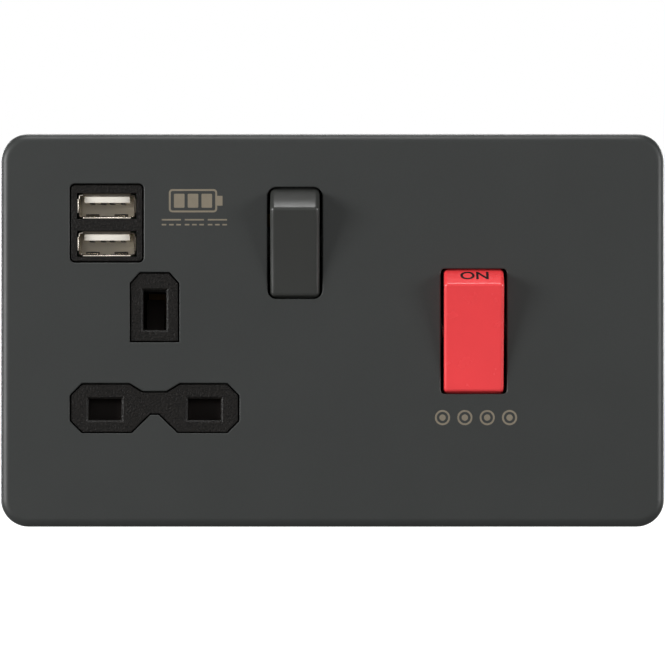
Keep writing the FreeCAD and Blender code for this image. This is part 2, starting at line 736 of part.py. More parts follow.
def peg_top():
    """Height at which the base's peg holds the lower end of the shutter's spring."""
    return spring_slot()[0] + STRIP_GAP + PEG_L


def shutter_spring():
    """Plain sleeve in place of the shutter's coil spring."""
    y, z1 = (SHUTTER_FRONT_Y + SHUTTER_BACK_Y) / 2, spring_slot()[1]
    length = z1 - peg_top()
    sleeve = rod(SOCKET_X, y, peg_top(), SPRING_R, length, Z_AXIS)
    return sleeve.cut(rod(SOCKET_X, y, peg_top() - PAST, SPRING_BORE_R, length + 2 * PAST, Z_AXIS))


def live_strip():
    """Runs of the line contact's strip, as (x0, x1, z0, z1)."""
    half = STRIP_W / 2
    return [
        (LIVE_X, LIVE_POLE_X + half, PINS_Z - half, PINS_Z + half),
        (LIVE_POLE_X - half, LIVE_POLE_X + half, PINS_Z - half, SMALL.z + half)]


def neutral_strip():
    """Runs of the neutral contact's strip."""
    half, low = STRIP_W / 2, PINS_Z - NEUTRAL_DROP
    return [
        (NEUTRAL_X - half, NEUTRAL_X + half, low - half, PINS_Z),
        (NEUTRAL_X - half, NEUTRAL_POLE_X + half, low - half, low + half),
        (NEUTRAL_POLE_X - half, NEUTRAL_POLE_X + half, low - half, SMALL.z + half)]


def live_fixed_strip():
    """Run from the line pad to its terminal."""
    half, z = STRIP_W / 2, SMALL.z + SMALL.button_z
    return [(LIVE_TERMINAL_X, LIVE_POLE_X + half, z - half, z + half)]


def neutral_fixed_strip():
    """Runs from the neutral pad up and across to its terminal."""
    half, z = STRIP_W / 2, SMALL.z + SMALL.button_z
    top = SOCKET_TOP - HOUSING_R
    low = top - STRIP_W + STRIP_T
    return [
        (NEUTRAL_POLE_X - half, NEUTRAL_POLE_X + half, z - half, top),
        (NEUTRAL_TERMINAL_X - half, NEUTRAL_POLE_X + half, low, top),
        (NEUTRAL_TERMINAL_X - half, NEUTRAL_TERMINAL_X + half, TERMINAL_Z, top)]


def strip_solids(runs):
    """Flat strip made of straight runs on the floor of the socket base."""
    return [block(x0, x1, STRIP_FRONT_Y, STRIP_BACK_Y, z0, z1) for x0, x1, z0, z1 in runs]


def strip_channels(runs):
    """Cutters for the channels that the runs lie in."""
    g = STRIP_GAP
    return [
        block(x0 - g, x1 + g, GRID_BACK_Y - PAST, STRIP_BACK_Y, z0 - g, z1 + g)
        for x0, x1, z0, z1 in runs]


def pin_leaves(x):
    """Two spring leaves above and below a flat pin, with flared lips."""
    half, lip = LEAF_GAP / 2, LEAF_GAP / 2 + LEAF_LIP
    front, bend = LEAF_FRONT, LEAF_FRONT + LEAF_LIP_L
    solids = []
    for side in (-1, 1):
        outline = [
            (front, lip), (bend, half), (STRIP_FRONT_Y, half), (STRIP_FRONT_Y, half + STRIP_T),
            (bend, half + STRIP_T), (front, lip + STRIP_T)]
        outline = [(y, PINS_Z + side * z) for y, z in outline]
        solids.append(side_form(outline, x - LEAF_W / 2, x + LEAF_W / 2))
    height = LEAF_GAP + 2 * STRIP_T
    solids.append(centred(x, PINS_Z, LEAF_W, height, STRIP_FRONT_Y, STRIP_BACK_Y))
    return solids


def cradle(switch, x):
    """Block with a trough that a see-saw contact rocks in."""
    half = switch.knuckle_r + switch.strip_t
    front = switch.axis_y + STRIP_GAP
    base = centred(x, switch.z, switch.seesaw_w, 2 * half, front, switch.floor_y)
    trough = rod(
        x - switch.seesaw_w, switch.axis_y, switch.z, switch.knuckle_r + FIT,
        2 * switch.seesaw_w, X_AXIS)
    return base, trough


def switched_contact(x, pole_x, runs):
    """Socket contact with leaves, a strip and a cradle for its see-saw."""
    base, trough = cradle(SMALL, pole_x)
    return joined(pin_leaves(x) + strip_solids(runs) + [base]).cut(trough)


def earth_contact():
    """Deep earth contact with a tail down to its terminal."""
    half, lip = LEAF_GAP / 2, LEAF_GAP / 2 + LEAF_LIP
    front, bend = EARTH_LEAF_FRONT, EARTH_LEAF_FRONT + LEAF_LIP_L
    z0, z1 = EARTH_Z - EARTH_LEAF_W / 2, EARTH_Z + EARTH_LEAF_W / 2
    solids = []
    for side in (-1, 1):
        outline = [
            (lip, front), (half, bend), (half, EARTH_WEB_Y), (half + STRIP_T, EARTH_WEB_Y),
            (half + STRIP_T, bend), (lip + STRIP_T, front)]
        outline = [(SOCKET_X + side * x, y) for x, y in outline]
        solids.append(top_form(outline, z0, z1))
    width = LEAF_GAP + 2 * STRIP_T
    solids.append(centred(SOCKET_X, EARTH_Z, width, EARTH_LEAF_W, EARTH_WEB_Y, EARTH_BACK_Y))
    tail_end = EARTH_TERMINAL_Z - EARTH_TERMINAL_H / 2
    solids.append(block(
        SOCKET_X - STRIP_W / 2, SOCKET_X + STRIP_W / 2, EARTH_WEB_Y, EARTH_BACK_Y, tail_end, z0))
    return joined(solids)


def pad(switch, x):
    """Contact pad in front of a fixed strip, where a see-saw's button meets it."""
    y1 = switch.floor_y - switch.strip_t
    return rod(
        x, switch.pad_y, switch.z + switch.button_z, switch.button_r + CONTACT_PAD_R_MORE,
        y1 - switch.pad_y)


def socket_fixed_contact(x, runs):
    """Fixed contact of one pole of the socket switch."""
    return joined(strip_solids(runs) + [pad(SMALL, x)])


def terminal(x, z, w, h, d, y, bore_r, bore_in, screw_r, screw_shifts):
    """Terminal block with a wire bore along Z and tapped holes from behind."""
    body = centred(x, z, w, h, y, y + d)
    bore = rod(x, y + bore_in, z - h, bore_r, 2 * h, Z_AXIS)
    taps = [rod(x, y + bore_in, z + s, screw_r, d) for s in screw_shifts]
    return without(body, [bore] + taps)


def socket_terminal(x):
    """Line or neutral terminal of the socket."""
    return terminal(
        x, TERMINAL_Z, TERMINAL_W, TERMINAL_H, TERMINAL_D, STRIP_BACK_Y, TERMINAL_BORE_R,
        TERMINAL_BORE_IN, TERMINAL_SCREW_R, [0])


def earth_terminal():
    """Earth terminal of the socket, with its wire bore opening downwards."""
    return terminal(
        SOCKET_X, EARTH_TERMINAL_Z, TERMINAL_W, EARTH_TERMINAL_H, EARTH_TERMINAL_D, EARTH_BACK_Y,
        TERMINAL_BORE_R, EARTH_BORE_IN, TERMINAL_SCREW_R, [0])


def clamp_screw(x, z, seat, bore_y, bore_r, shank_r, head_r, head_h):
    """Terminal screw driven along -Y from behind, down to the edge of the wire bore."""
    shank = rod(x, bore_y + bore_r, z, shank_r, seat - bore_y - bore_r)
    head = rod(x, seat, z, head_r, head_h)
    slot = centred(x, z, head_r * 3, DRIVE_SLOT_W, seat + head_h / 2, seat + head_h + PAST)
    return joined([shank, head]).cut(slot)


def socket_terminal_screws():
    """The three clamp screws of the socket's terminals."""
    bore_y, seat = STRIP_BACK_Y + TERMINAL_BORE_IN, STRIP_BACK_Y + TERMINAL_D
    screws = [
        clamp_screw(x, TERMINAL_Z, seat, bore_y, TERMINAL_BORE_R, TERMINAL_SCREW_R,
                    TERMINAL_HEAD_R, TERMINAL_HEAD_H)
        for x in (LIVE_TERMINAL_X, NEUTRAL_TERMINAL_X)]
    screws.append(clamp_screw(
        SOCKET_X, EARTH_TERMINAL_Z, EARTH_BACK_Y + EARTH_TERMINAL_D, EARTH_BACK_Y + EARTH_BORE_IN,
        TERMINAL_BORE_R, TERMINAL_SCREW_R, TERMINAL_HEAD_R, TERMINAL_HEAD_H))
    return Part.makeCompound(screws)


def socket_base_cuts():
    """Every pocket, channel and hole of the socket base."""
    y0, g = GRID_BACK_Y - PAST, STRIP_GAP
    rear = SOCKET_DEPTH + PAST
    lip_h = LEAF_GAP + 2 * (LEAF_LIP + STRIP_T + g)
    cuts = [
        centred(x, PINS_Z, LEAF_W + 2 * g, lip_h, y0, STRIP_BACK_Y) for x in (LIVE_X, NEUTRAL_X)]
    cuts.append(centred(SOCKET_X, EARTH_Z, lip_h, EARTH_LEAF_W + 2 * g, y0, EARTH_BACK_Y))
    for runs in (live_strip(), neutral_strip(), live_fixed_strip(), neutral_fixed_strip()):
        cuts += strip_channels(runs)
    cuts.append(centred(
        SMALL.x, SMALL.z, SMALL_SWITCH_W, 2 * SMALL.slot_half_h, y0, STRIP_BACK_Y))
    low, high = PINS_Z - LOBE_DOWN - SHUTTER_TRAVEL, PINS_Z + LOBE_UP
    left, right = lobe_span()
    cuts.append(block(left - g, right + g, y0, RECESS_Y, low - g, high + g))
    cuts.append(block(
        SOCKET_X - STEM_W / 2 - g, SOCKET_X + STEM_W / 2 + g, y0, RECESS_Y, low - g,
        stem_top() + g))
    ramp_low, ramp_high = stem_top() - SHUTTER_TRAVEL, stem_top() + RAMP_RISE
    cuts.append(block(
        SOCKET_X - RAMP_W / 2 - g, SOCKET_X + RAMP_W / 2 + g, y0,
        SHUTTER_FRONT_Y + RAMP_DEPTH + g, ramp_low - g, ramp_high + g))
    for x in (LIVE_TERMINAL_X, NEUTRAL_TERMINAL_X):
        cuts.append(block(
            x - TERMINAL_W / 2 - FIT, x + TERMINAL_W / 2 + FIT, STRIP_BACK_Y, rear,
            TERMINAL_Z - TERMINAL_H / 2 - FIT, SOCKET_TOP + PAST))
    earth_top = EARTH_TERMINAL_Z + EARTH_TERMINAL_H / 2 + FIT
    cuts.append(block(
        SOCKET_X - TERMINAL_W / 2 - FIT, SOCKET_X + TERMINAL_W / 2 + FIT, EARTH_BACK_Y, rear,
        SOCKET_BOTTOM - PAST, earth_top))
    cuts.append(block(
        SOCKET_X - STRIP_W / 2 - g, SOCKET_X + STRIP_W / 2 + g, EARTH_WEB_Y - FIT, rear,
        SOCKET_BOTTOM - PAST, EARTH_Z - EARTH_LEAF_W / 2 + FIT))
    screw_end = FLANGE_FRONT_Y + MODULE_HEAD_H + MODULE_SCREW_L
    cuts += [rod(x, y0, z, MODULE_SCREW_R, screw_end - y0 + g) for x, z in SOCKET_SCREWS]
    return cuts


def earth_chamber():
    """Deep part of the socket base round the earth contact, sloped down to its terminal."""
    y0, shallow, deep = GRID_BACK_Y, EARTH_BACK_Y + CHAMBER_WALL, SOCKET_DEPTH
    top = EARTH_Z + EARTH_LEAF_W / 2 + CHAMBER_WALL
    step = EARTH_TERMINAL_Z + EARTH_TERMINAL_H / 2 + CHAMBER_WALL
    half = TERMINAL_W / 2 + CHAMBER_WALL
    outline = [
        (y0, SOCKET_BOTTOM), (deep, SOCKET_BOTTOM), (deep, step), (shallow, step + CHAMBER_SLOPE),
        (shallow, top), (y0, top)]
    form = side_form(outline, SOCKET_X - half, SOCKET_X + half)
    return form.makeFillet(REAR_EDGE_R, edges_at(form, deep))


def terminal_chamber():
    """Deep part of the socket base round the line and neutral terminals."""
    left, right = SOCKET_NECK_LEFT, LIVE_TERMINAL_X + TERMINAL_W / 2 + CHAMBER_WALL
    low = TERMINAL_Z - TERMINAL_H / 2 - CHAMBER_WALL
    form = rounded(
        (left + right) / 2, (low + SOCKET_TOP) / 2, right - left, SOCKET_TOP - low, HOUSING_R,
        GRID_BACK_Y, SOCKET_DEPTH)
    return form.makeFillet(REAR_EDGE_R, edges_at(form, SOCKET_DEPTH))


def socket_ribs(floor):
    """Ribs behind the socket's switch, down from its terminals."""
    low, high = SOCKET_BOTTOM + HOUSING_R, SOCKET_TOP - HOUSING_R
    count = int((SOCKET_RIGHT - LIVE_X - LEAF_W / 2) / RIB_PITCH)
    return [
        centred(SOCKET_RIGHT - k * RIB_PITCH, (low + high) / 2, RIB_T, high - low, floor,
                floor + RIB_RISE)
        for k in range(1, count)]


def socket_base():
    """Black rear moulding that holds the socket's contacts and its switch."""
    wide_x, wide_z = (SOCKET_LEFT + SOCKET_RIGHT) / 2, (SOCKET_BOTTOM + SOCKET_SHOULDER) / 2
    tall_x, tall_z = (SOCKET_NECK_LEFT + SOCKET_RIGHT) / 2, (SOCKET_BOTTOM + SOCKET_TOP) / 2
    floor = STRIP_BACK_Y + BACK_WALL
    body = joined([
        rounded(wide_x, wide_z, SOCKET_RIGHT - SOCKET_LEFT, SOCKET_SHOULDER - SOCKET_BOTTOM,
                HOUSING_R, GRID_BACK_Y, floor),
        rounded(tall_x, tall_z, SOCKET_RIGHT - SOCKET_NECK_LEFT, SOCKET_TOP - SOCKET_BOTTOM,
                HOUSING_R, GRID_BACK_Y, floor),
        earth_chamber(), terminal_chamber()] + socket_ribs(floor))
    peg = block(
        SOCKET_X - SPRING_R, SOCKET_X + SPRING_R, SHUTTER_FRONT_Y, RECESS_Y,
        peg_top() - PEG_L, peg_top())
    return joined([without(body, socket_base_cuts()), peg])


def rocker_outline(switch, shrink):
    """Closed wire of a level rocker's side, seen along X, drawn in by a wall."""
    end_r = switch.end_r - shrink
    face_y = PIVOT_Y - switch.reach + shrink
    half = math.sqrt(end_r ** 2 - (PIVOT_Y - face_y) ** 2)
    skirt = math.radians(ROCKER_SKIRT_ANGLE)
    start = math.atan2(half, PIVOT_Y - face_y)
    middle = (start + skirt) / 2

    def at(angle, side):
        return V(0, PIVOT_Y - end_r * math.cos(angle), switch.z + side * end_r * math.sin(angle))

    hollow = V(0, face_y + ROCKER_SAG, switch.z)
    ends = [
        Part.Arc(at(start, side), at(middle, side), at(skirt, side)).toShape() for side in (-1, 1)]
    face = Part.Arc(at(start, -1), hollow, at(start, 1)).toShape()
    back = Part.LineSegment(at(skirt, -1), at(skirt, 1)).toShape()
    return Part.Wire(Part.__sortEdges__(ends + [face, back]))


def rocker_form(switch, half_w, shrink):
    """Solid of the rocker's side outline over a half width."""
    face = Part.Face(rocker_outline(switch, shrink))
    face.translate(V(switch.x - half_w, 0, 0))
    return face.extrude(V(2 * half_w, 0, 0))


def rocker(switch):
    """Hollow rocker with a dished face, trunnions and two plunger tubes, turned to its rest."""
    half_w = switch.width / 2
    shell = rocker_form(switch, half_w, 0)
    limit = PIVOT_Y - TRUNNION_R
    rims = [e for e in shell.Edges if e.BoundBox.YMin < limit]
    shell = shell.makeFillet(switch.edge_r, rims)
    shell = shell.cut(rocker_form(switch, half_w - ROCKER_WALL, ROCKER_WALL))
    tube_r = switch.plunger_r + FIT + TUBE_WALL
    beam = block(
        switch.x - half_w + ROCKER_WALL / 2, switch.x + half_w - ROCKER_WALL / 2,
        PIVOT_Y - BEAM_D / 2, PIVOT_Y + BEAM_D / 2, switch.z - BEAM_H / 2, switch.z + BEAM_H / 2)
    pin_half = switch.slot_half_w + TRUNNION_BITE
    pins = rod(switch.x - pin_half, PIVOT_Y, switch.z, TRUNNION_R, 2 * pin_half, X_AXIS)
    tubes = [rod(x, PIVOT_Y, switch.z, tube_r, TUBE_L) for x in switch.poles]
    start = PIVOT_Y + switch.plunger_tip - PLUNGER_L - spring_room(switch)
    bores = [rod(x, start, switch.z, switch.plunger_r + FIT, PLUNGER_L * 2) for x in switch.poles]
    whole = without(joined([shell, beam, pins] + tubes), bores)
    return switch.turned(whole, switch.throw)


def spring_room(switch):
    """Length of a plunger's spring behind the plunger."""
    return switch.plunger_r * 1.6


def plunger(switch, x):
    """Round-ended plunger that the rocker drags along a see-saw contact."""
    tip = PIVOT_Y + switch.plunger_tip
    body = rod(x, tip - PLUNGER_L, switch.z, switch.plunger_r, PLUNGER_L)
    body = body.makeFillet(switch.plunger_r * 0.95, edges_at(body, tip))
    return switch.turned(body, switch.throw)


def plunger_spring(switch, x):
    """Plain sleeve in place of the coil spring behind a plunger."""
    length = spring_room(switch)
    start = PIVOT_Y + switch.plunger_tip - PLUNGER_L - length
    sleeve = rod(x, start, switch.z, switch.plunger_r, length)
    sleeve = sleeve.cut(rod(x, start - PAST, switch.z, switch.plunger_r * 0.6, length + 2 * PAST))
    return switch.turned(sleeve, switch.throw)


def seesaw(switch, x):
    """Moving contact: a bar with a knuckle under its middle and a button at its top end."""
    y0, y1 = switch.seesaw_y, switch.seesaw_y + switch.seesaw_t
    bar = centred(x, switch.z, switch.seesaw_w, switch.seesaw_l, y0, y1)
    knuckle = rod(
        x - switch.seesaw_w / 2, switch.axis_y, switch.z, switch.knuckle_r, switch.seesaw_w, X_AXIS)
    web = centred(x, switch.z, switch.seesaw_w, 2 * switch.seesaw_t, y1, switch.axis_y)
    button = rod(x, y1, switch.z + switch.button_z, switch.button_r, BUTTON_H)
    return switch.tilted(joined([bar, knuckle, web, button]), -SEESAW_THROW)


def usb_port_places():
    """Heights of the upper and the lower port."""
    return USB_MID_Z + PORT_PITCH / 2, USB_MID_Z - PORT_PITCH / 2


def usb_case_inner():
    """Inner width and height of the USB case."""
    return USB_CASE_W - 2 * USB_CASE_T, USB_CASE_H - 2 * USB_CASE_T


def usb_leg(side):
    """Snap leg of the bezel between the two ports, with a nib that catches in the case's wall."""
    inner = USB_X + side * (usb_case_inner()[0] / 2 - FIT)
    x0, x1 = min(inner, inner - side * USB_LEG_T), max(inner, inner - side * USB_LEG_T)
    z0, z1 = USB_MID_Z - USB_LEG_W / 2, USB_MID_Z + USB_LEG_W / 2
    leg = block(x0, x1, GRID_FRONT_Y, GRID_FRONT_Y + USB_LEG_L, z0, z1)
    y1 = GRID_FRONT_Y + USB_LEG_L
    outline = [
        (inner, y1 - USB_NIB_L), (inner + side * (USB_NIB + FIT), y1 - USB_NIB_L), (inner, y1)]
    return leg.fuse(top_form(outline, z0, z1))


def usb_bezel():
    """Black bezel: island in the plate's opening, flange on the grid and two snap legs."""
    island = rounded(
        USB_X, USB_Z, USB_OPENING_W - 2 * INSERT_GAP, USB_OPENING_H - 2 * INSERT_GAP,
        USB_OPENING_R - INSERT_GAP, BEZEL_Y, GRID_FRONT_Y)
    island = island.makeFillet(OPENING_EDGE_R, edges_at(island, BEZEL_Y))
    flange = centred(
        USB_X, USB_MID_Z, USB_CASE_W + USB_FLANGE_LAP, USB_CASE_H + USB_FLANGE_LAP, FLANGE_FRONT_Y,
        GRID_FRONT_Y)
    ports = [
        centred(USB_X, z, SHELL_W + 2 * FIT, SHELL_H + 2 * FIT, BEZEL_Y - PAST, GRID_FRONT_Y + PAST)
        for z in usb_port_places()]
    return without(joined([island, flange, usb_leg(-1), usb_leg(1)]), ports)


def usb_case():
    """Deep black box behind the grid that holds the charger."""
    inner_w, inner_h = usb_case_inner()
    box = rounded(USB_X, USB_MID_Z, USB_CASE_W, USB_CASE_H, HOUSING_R, GRID_BACK_Y, USB_CASE_DEPTH)
    box = box.makeFillet(REAR_EDGE_R, edges_at(box, USB_CASE_DEPTH))
    hollow = centred(
        USB_X, USB_MID_Z, inner_w, inner_h, GRID_BACK_Y - PAST, USB_CASE_DEPTH - USB_CASE_T)
    nib_y = GRID_FRONT_Y + USB_LEG_L - USB_NIB_L
    catch = centred(
        USB_X, USB_MID_Z, USB_CASE_W + 2 * PAST, USB_LEG_W + 2 * FIT, nib_y, nib_y + USB_NIB_L + FIT)
    ledge_h = 2 * FIT + PAST
    ledges = [
        centred(USB_X, USB_MID_Z + side * (inner_h - ledge_h) / 2, inner_w, ledge_h,
                USB_BOARD_Y + USB_BOARD_T, USB_CASE_DEPTH - USB_CASE_T)
        for side in (-1, 1)]
    return joined([without(box, [hollow, catch])] + ledges)


def usb_board():
    """Circuit board across the USB case."""
    inner_w, inner_h = usb_case_inner()
    return centred(
        USB_X, USB_MID_Z, inner_w - 2 * FIT, inner_h - 2 * FIT, USB_BOARD_Y,
        USB_BOARD_Y + USB_BOARD_T)


def flared_lip(reach, wide, place):
    """Lip of a shell's mouth: a strip that leans outwards, placed by a function of (y, out, along)."""
    y0 = BEZEL_Y + SHELL_RECESS
    outline = [
        (y0 + LIP_L, reach), (y0 + LIP_L, reach - SHELL_T), (y0, reach + LIP_FLARE - SHELL_T),
        (y0, reach + LIP_FLARE)]
    face = face_of([place(y, out, -wide / 2) for y, out in outline])
    return face.extrude(place(0, 0, wide / 2) - place(0, 0, -wide / 2))


def shell_lips(z):
    """The four flared lips of a port's mouth, with open corners between them."""
    across, upright = TUBE_W - 2 * LIP_CORNER, TUBE_H - 2 * LIP_CORNER
    lips = []
    for side in (-1, 1):
        lips.append(flared_lip(
            TUBE_H / 2, across, lambda y, out, along: V(USB_X + along, y, z + side * out)))
        lips.append(flared_lip(
            TUBE_W / 2, upright, lambda y, out, along: V(USB_X + side * out, y, z + along)))
    return lips


def shell_finger(x, floor):
    """Spring finger in a shell's floor: it rises from its root and bends down at its tip."""
    y0 = BEZEL_Y + SHELL_RECESS + LIP_L
    top = y0 + FINGER_BEND
    outline = [
        (y0 + FINGER_L, floor), (top, floor + FINGER_LIFT - SHELL_T), (y0, floor + FINGER_TIP),
        (y0, floor + FINGER_TIP + SHELL_T), (top, floor + FINGER_LIFT),
        (y0 + FINGER_L, floor + SHELL_T)]
    return side_form(outline, x - FINGER_W / 2, x + FINGER_W / 2)


def usb_shell(z):
    """Folded metal shell of one port, with flared lips and two spring fingers in its floor."""
    mouth = BEZEL_Y + SHELL_RECESS + LIP_L
    tube = rounded(USB_X, z, TUBE_W, TUBE_H, 2 * SHELL_T, mouth, USB_BOARD_Y)
    hollow = rounded(
        USB_X, z, TUBE_W - 2 * SHELL_T, TUBE_H - 2 * SHELL_T, SHELL_T, mouth - PAST,
        USB_BOARD_Y + PAST)
    floor = z - TUBE_H / 2
    slots, fingers = [], []
    for side in (-1, 1):
        x = USB_X + side * FINGER_X
        slots.append(block(
            x - FINGER_SLOT_W / 2, x + FINGER_SLOT_W / 2, mouth + SHELL_T, mouth + FINGER_L,
            floor - PAST, floor + SHELL_T))
        fingers.append(shell_finger(x, floor))
    return joined([without(tube, [hollow] + slots)] + shell_lips(z) + fingers)


def tongue_top(z):
    """Height of the top of a port's tongue."""
    return z + TUBE_H / 2 - SHELL_T - TONGUE_DROP


def usb_tongue(z):
    """White tongue of a port with the insulator that holds it in the shell."""
    y0 = BEZEL_Y + SHELL_RECESS + TONGUE_SETBACK
    holder_y = USB_BOARD_Y - TONGUE_HOLDER_D
    top = tongue_top(z)
    bar = block(
        USB_X - TONGUE_W / 2, USB_X + TONGUE_W / 2, y0, holder_y, top - TONGUE_T, top)
    holder = rounded(
        USB_X, z, TUBE_W - 2 * SHELL_T, TUBE_H - 2 * SHELL_T, SHELL_T, holder_y, USB_BOARD_Y)
    return joined([bar, holder])


def usb_pins(z):
    """Four contact strips under a port's tongue."""
    y0 = BEZEL_Y + SHELL_RECESS + TONGUE_SETBACK * 2
    low = tongue_top(z) - TONGUE_T
    return Part.makeCompound([
        block(USB_X + x - USB_PIN_W / 2, USB_X + x + USB_PIN_W / 2, y0,
              USB_BOARD_Y - TONGUE_HOLDER_D, low - USB_PIN_T, low)
        for x in USB_PIN_X])


def usb_transformer():
    """Core and winding on the back of the board."""
    y0 = USB_BOARD_Y + USB_BOARD_T
    half = usb_case_inner()[0] / 2
    width = 2 * half - 2 * CAPACITOR_R - 3 * CORE_CLEAR
    x = USB_X - half + CORE_CLEAR + width / 2
    core = centred(x, USB_MID_Z, width, CORE_H, y0, y0 + CORE_D)
    window = centred(
        x, USB_MID_Z, width * 0.7, CORE_H + PAST, y0 + CORE_D * 0.25, y0 + CORE_D * 0.75)
    winding = centred(
        x, USB_MID_Z, width * 0.6, CORE_H * 1.2, y0 + CORE_D * 0.2, y0 + CORE_D * 0.8)
    return joined([core.cut(window), winding])


def usb_capacitors():
    """Two upright capacitors on the back of the board."""
    y0 = USB_BOARD_Y + USB_BOARD_T
    x = USB_X + usb_case_inner()[0] / 2 - CAPACITOR_R - 2 * FIT
    cans = []
    for side in (-1, 1):
        can = rod(x, y0, USB_MID_Z + side * (CAPACITOR_R + FIT), CAPACITOR_R, CAPACITOR_L)
        cans.append(can.makeFillet(CAPACITOR_R * 0.15, edges_at(can, y0 + CAPACITOR_L)))
    return Part.makeCompound(cans)


def cooker_screw_places():
    """Where the two screws clamp the cooker switch on the grid."""
    shift = COOKER_W / 2 - COOKER_SCREW_IN
    return [(LARGE.x + side * shift, LARGE.z) for side in (-1, 1)]


def cooker_front():
    """Black front moulding of the cooker switch, with cheeks and two screw bosses."""
    y0, y1 = FLANGE_FRONT_Y, GRID_FRONT_Y
    flange = rounded(LARGE.x, LARGE.z, COOKER_W, COOKER_H, HOUSING_R, y0, y1)
    bosses = [rod(x, y1, z, COOKER_BOSS_R, GRID_T) for x, z in cooker_screw_places()]
    body = joined([flange] + bosses).cut(rocker_slot(LARGE, y0 - PAST, y1 + PAST))
    body = joined([body] + cheeks(LARGE))
    seats = [screw_seat(x, z) for x, z in cooker_screw_places()]
    return without(body, seats + [trunnion_bore(LARGE)])


def cooker_terminal_places():
    """Middles of the four cooker terminals."""
    return [
        (LARGE.x + sx * COOKER_TERMINAL_SHIFT_X, LARGE.z + sz * COOKER_TERMINAL_SHIFT_Z)
        for sz in (1, -1) for sx in (-1, 1)]


def cooker_terminal(place):
    """Large brass terminal with a wire bore along Z and two clamp screws' holes."""
    x, z = place
    half = COOKER_SCREW_PAIR / 2
    return terminal(
        x, z, COOKER_TERMINAL_W, COOKER_TERMINAL_H, COOKER_TERMINAL_D, COOKER_FLOOR_Y,
        COOKER_BORE_R, COOKER_BORE_IN, COOKER_SCREW_R, [-half, half])


def cooker_terminal_screws():
    """The eight clamp screws of the cooker terminals."""
    bore_y, seat = COOKER_FLOOR_Y + COOKER_BORE_IN, COOKER_FLOOR_Y + COOKER_TERMINAL_D
    screws = []
    for x, z in cooker_terminal_places():
        for side in (-1, 1):
            place = z + side * COOKER_SCREW_PAIR / 2
            screws.append(clamp_screw(
                x, place, seat, bore_y, COOKER_BORE_R, COOKER_SCREW_R, COOKER_SCREW_R,
                COOKER_SCREW_PROUD * 2))
    return Part.makeCompound(screws)


def cooker_strip_runs(side, up):
    """Runs of a cooker strip from the switch to its terminal: up from the pad, down from the pivot."""
    half = COOKER_STRIP_W / 2
    pole = LARGE.x + side * LARGE.pole_shift
    outer = LARGE.x + side * (COOKER_TERMINAL_SHIFT_X + half)
    start = LARGE.z + (LARGE.button_z if up > 0 else 0)
    lap = LARGE.z + up * (COOKER_TERMINAL_SHIFT_Z - COOKER_TERMINAL_H / 2 - COOKER_STRIP_T)
    end = LARGE.z + up * (COOKER_TERMINAL_SHIFT_Z + COOKER_TERMINAL_H / 4)
    pole_run = (pole - half, pole + half, min(start, end), max(start, end))
    wide_run = (min(pole - half, outer), max(pole + half, outer), min(lap, end), max(lap, end))
    return [pole_run, wide_run]


def cooker_strip(side, up):
    """Solids of a cooker strip."""
    y1 = COOKER_FLOOR_Y
    return [
        block(x0, x1, y1 - COOKER_STRIP_T, y1, z0, z1)
        for x0, x1, z0, z1 in cooker_strip_runs(side, up)]


def cooker_fixed_contact(side):
    """Fixed contact of one pole, from its pad to the upper terminal."""
    return joined(cooker_strip(side, 1) + [pad(LARGE, LARGE.x + side * LARGE.pole_shift)])


def cooker_pivot_contact(side):
    """Pivot contact of one pole, from its cradle to the lower terminal."""
    base, trough = cradle(LARGE, LARGE.x + side * LARGE.pole_shift)
    return joined(cooker_strip(side, -1) + [base]).cut(trough)


def cooker_valley():
    """Cutter for the sloped valley across the back between the upper and lower terminals."""
    floor, rear = COOKER_FLOOR_Y + BACK_WALL, COOKER_DEPTH
    half = COOKER_TERMINAL_SHIFT_Z - COOKER_TERMINAL_H / 2 - CHAMBER_WALL
    inner = half - CHAMBER_SLOPE / 2
    outline = [(floor, -inner), (rear, -half), (rear + PAST, -half), (rear + PAST, half),
               (rear, half), (floor, inner)]
    return side_form(
        [(y, LARGE.z + z) for y, z in outline], LARGE.x - COOKER_W / 2 - PAST,
        LARGE.x + COOKER_W / 2 + PAST)


def cooker_ribs():
    """Upright ribs in the valley behind the cooker switch."""
    floor = COOKER_FLOOR_Y + BACK_WALL
    height = 2 * (COOKER_TERMINAL_SHIFT_Z - COOKER_TERMINAL_H / 2)
    count = int(COOKER_W / 2 / RIB_PITCH)
    return [
        centred(LARGE.x + k * RIB_PITCH, LARGE.z, RIB_T, height, floor - PAST, floor + RIB_RISE)
        for k in range(-count, count + 1)]


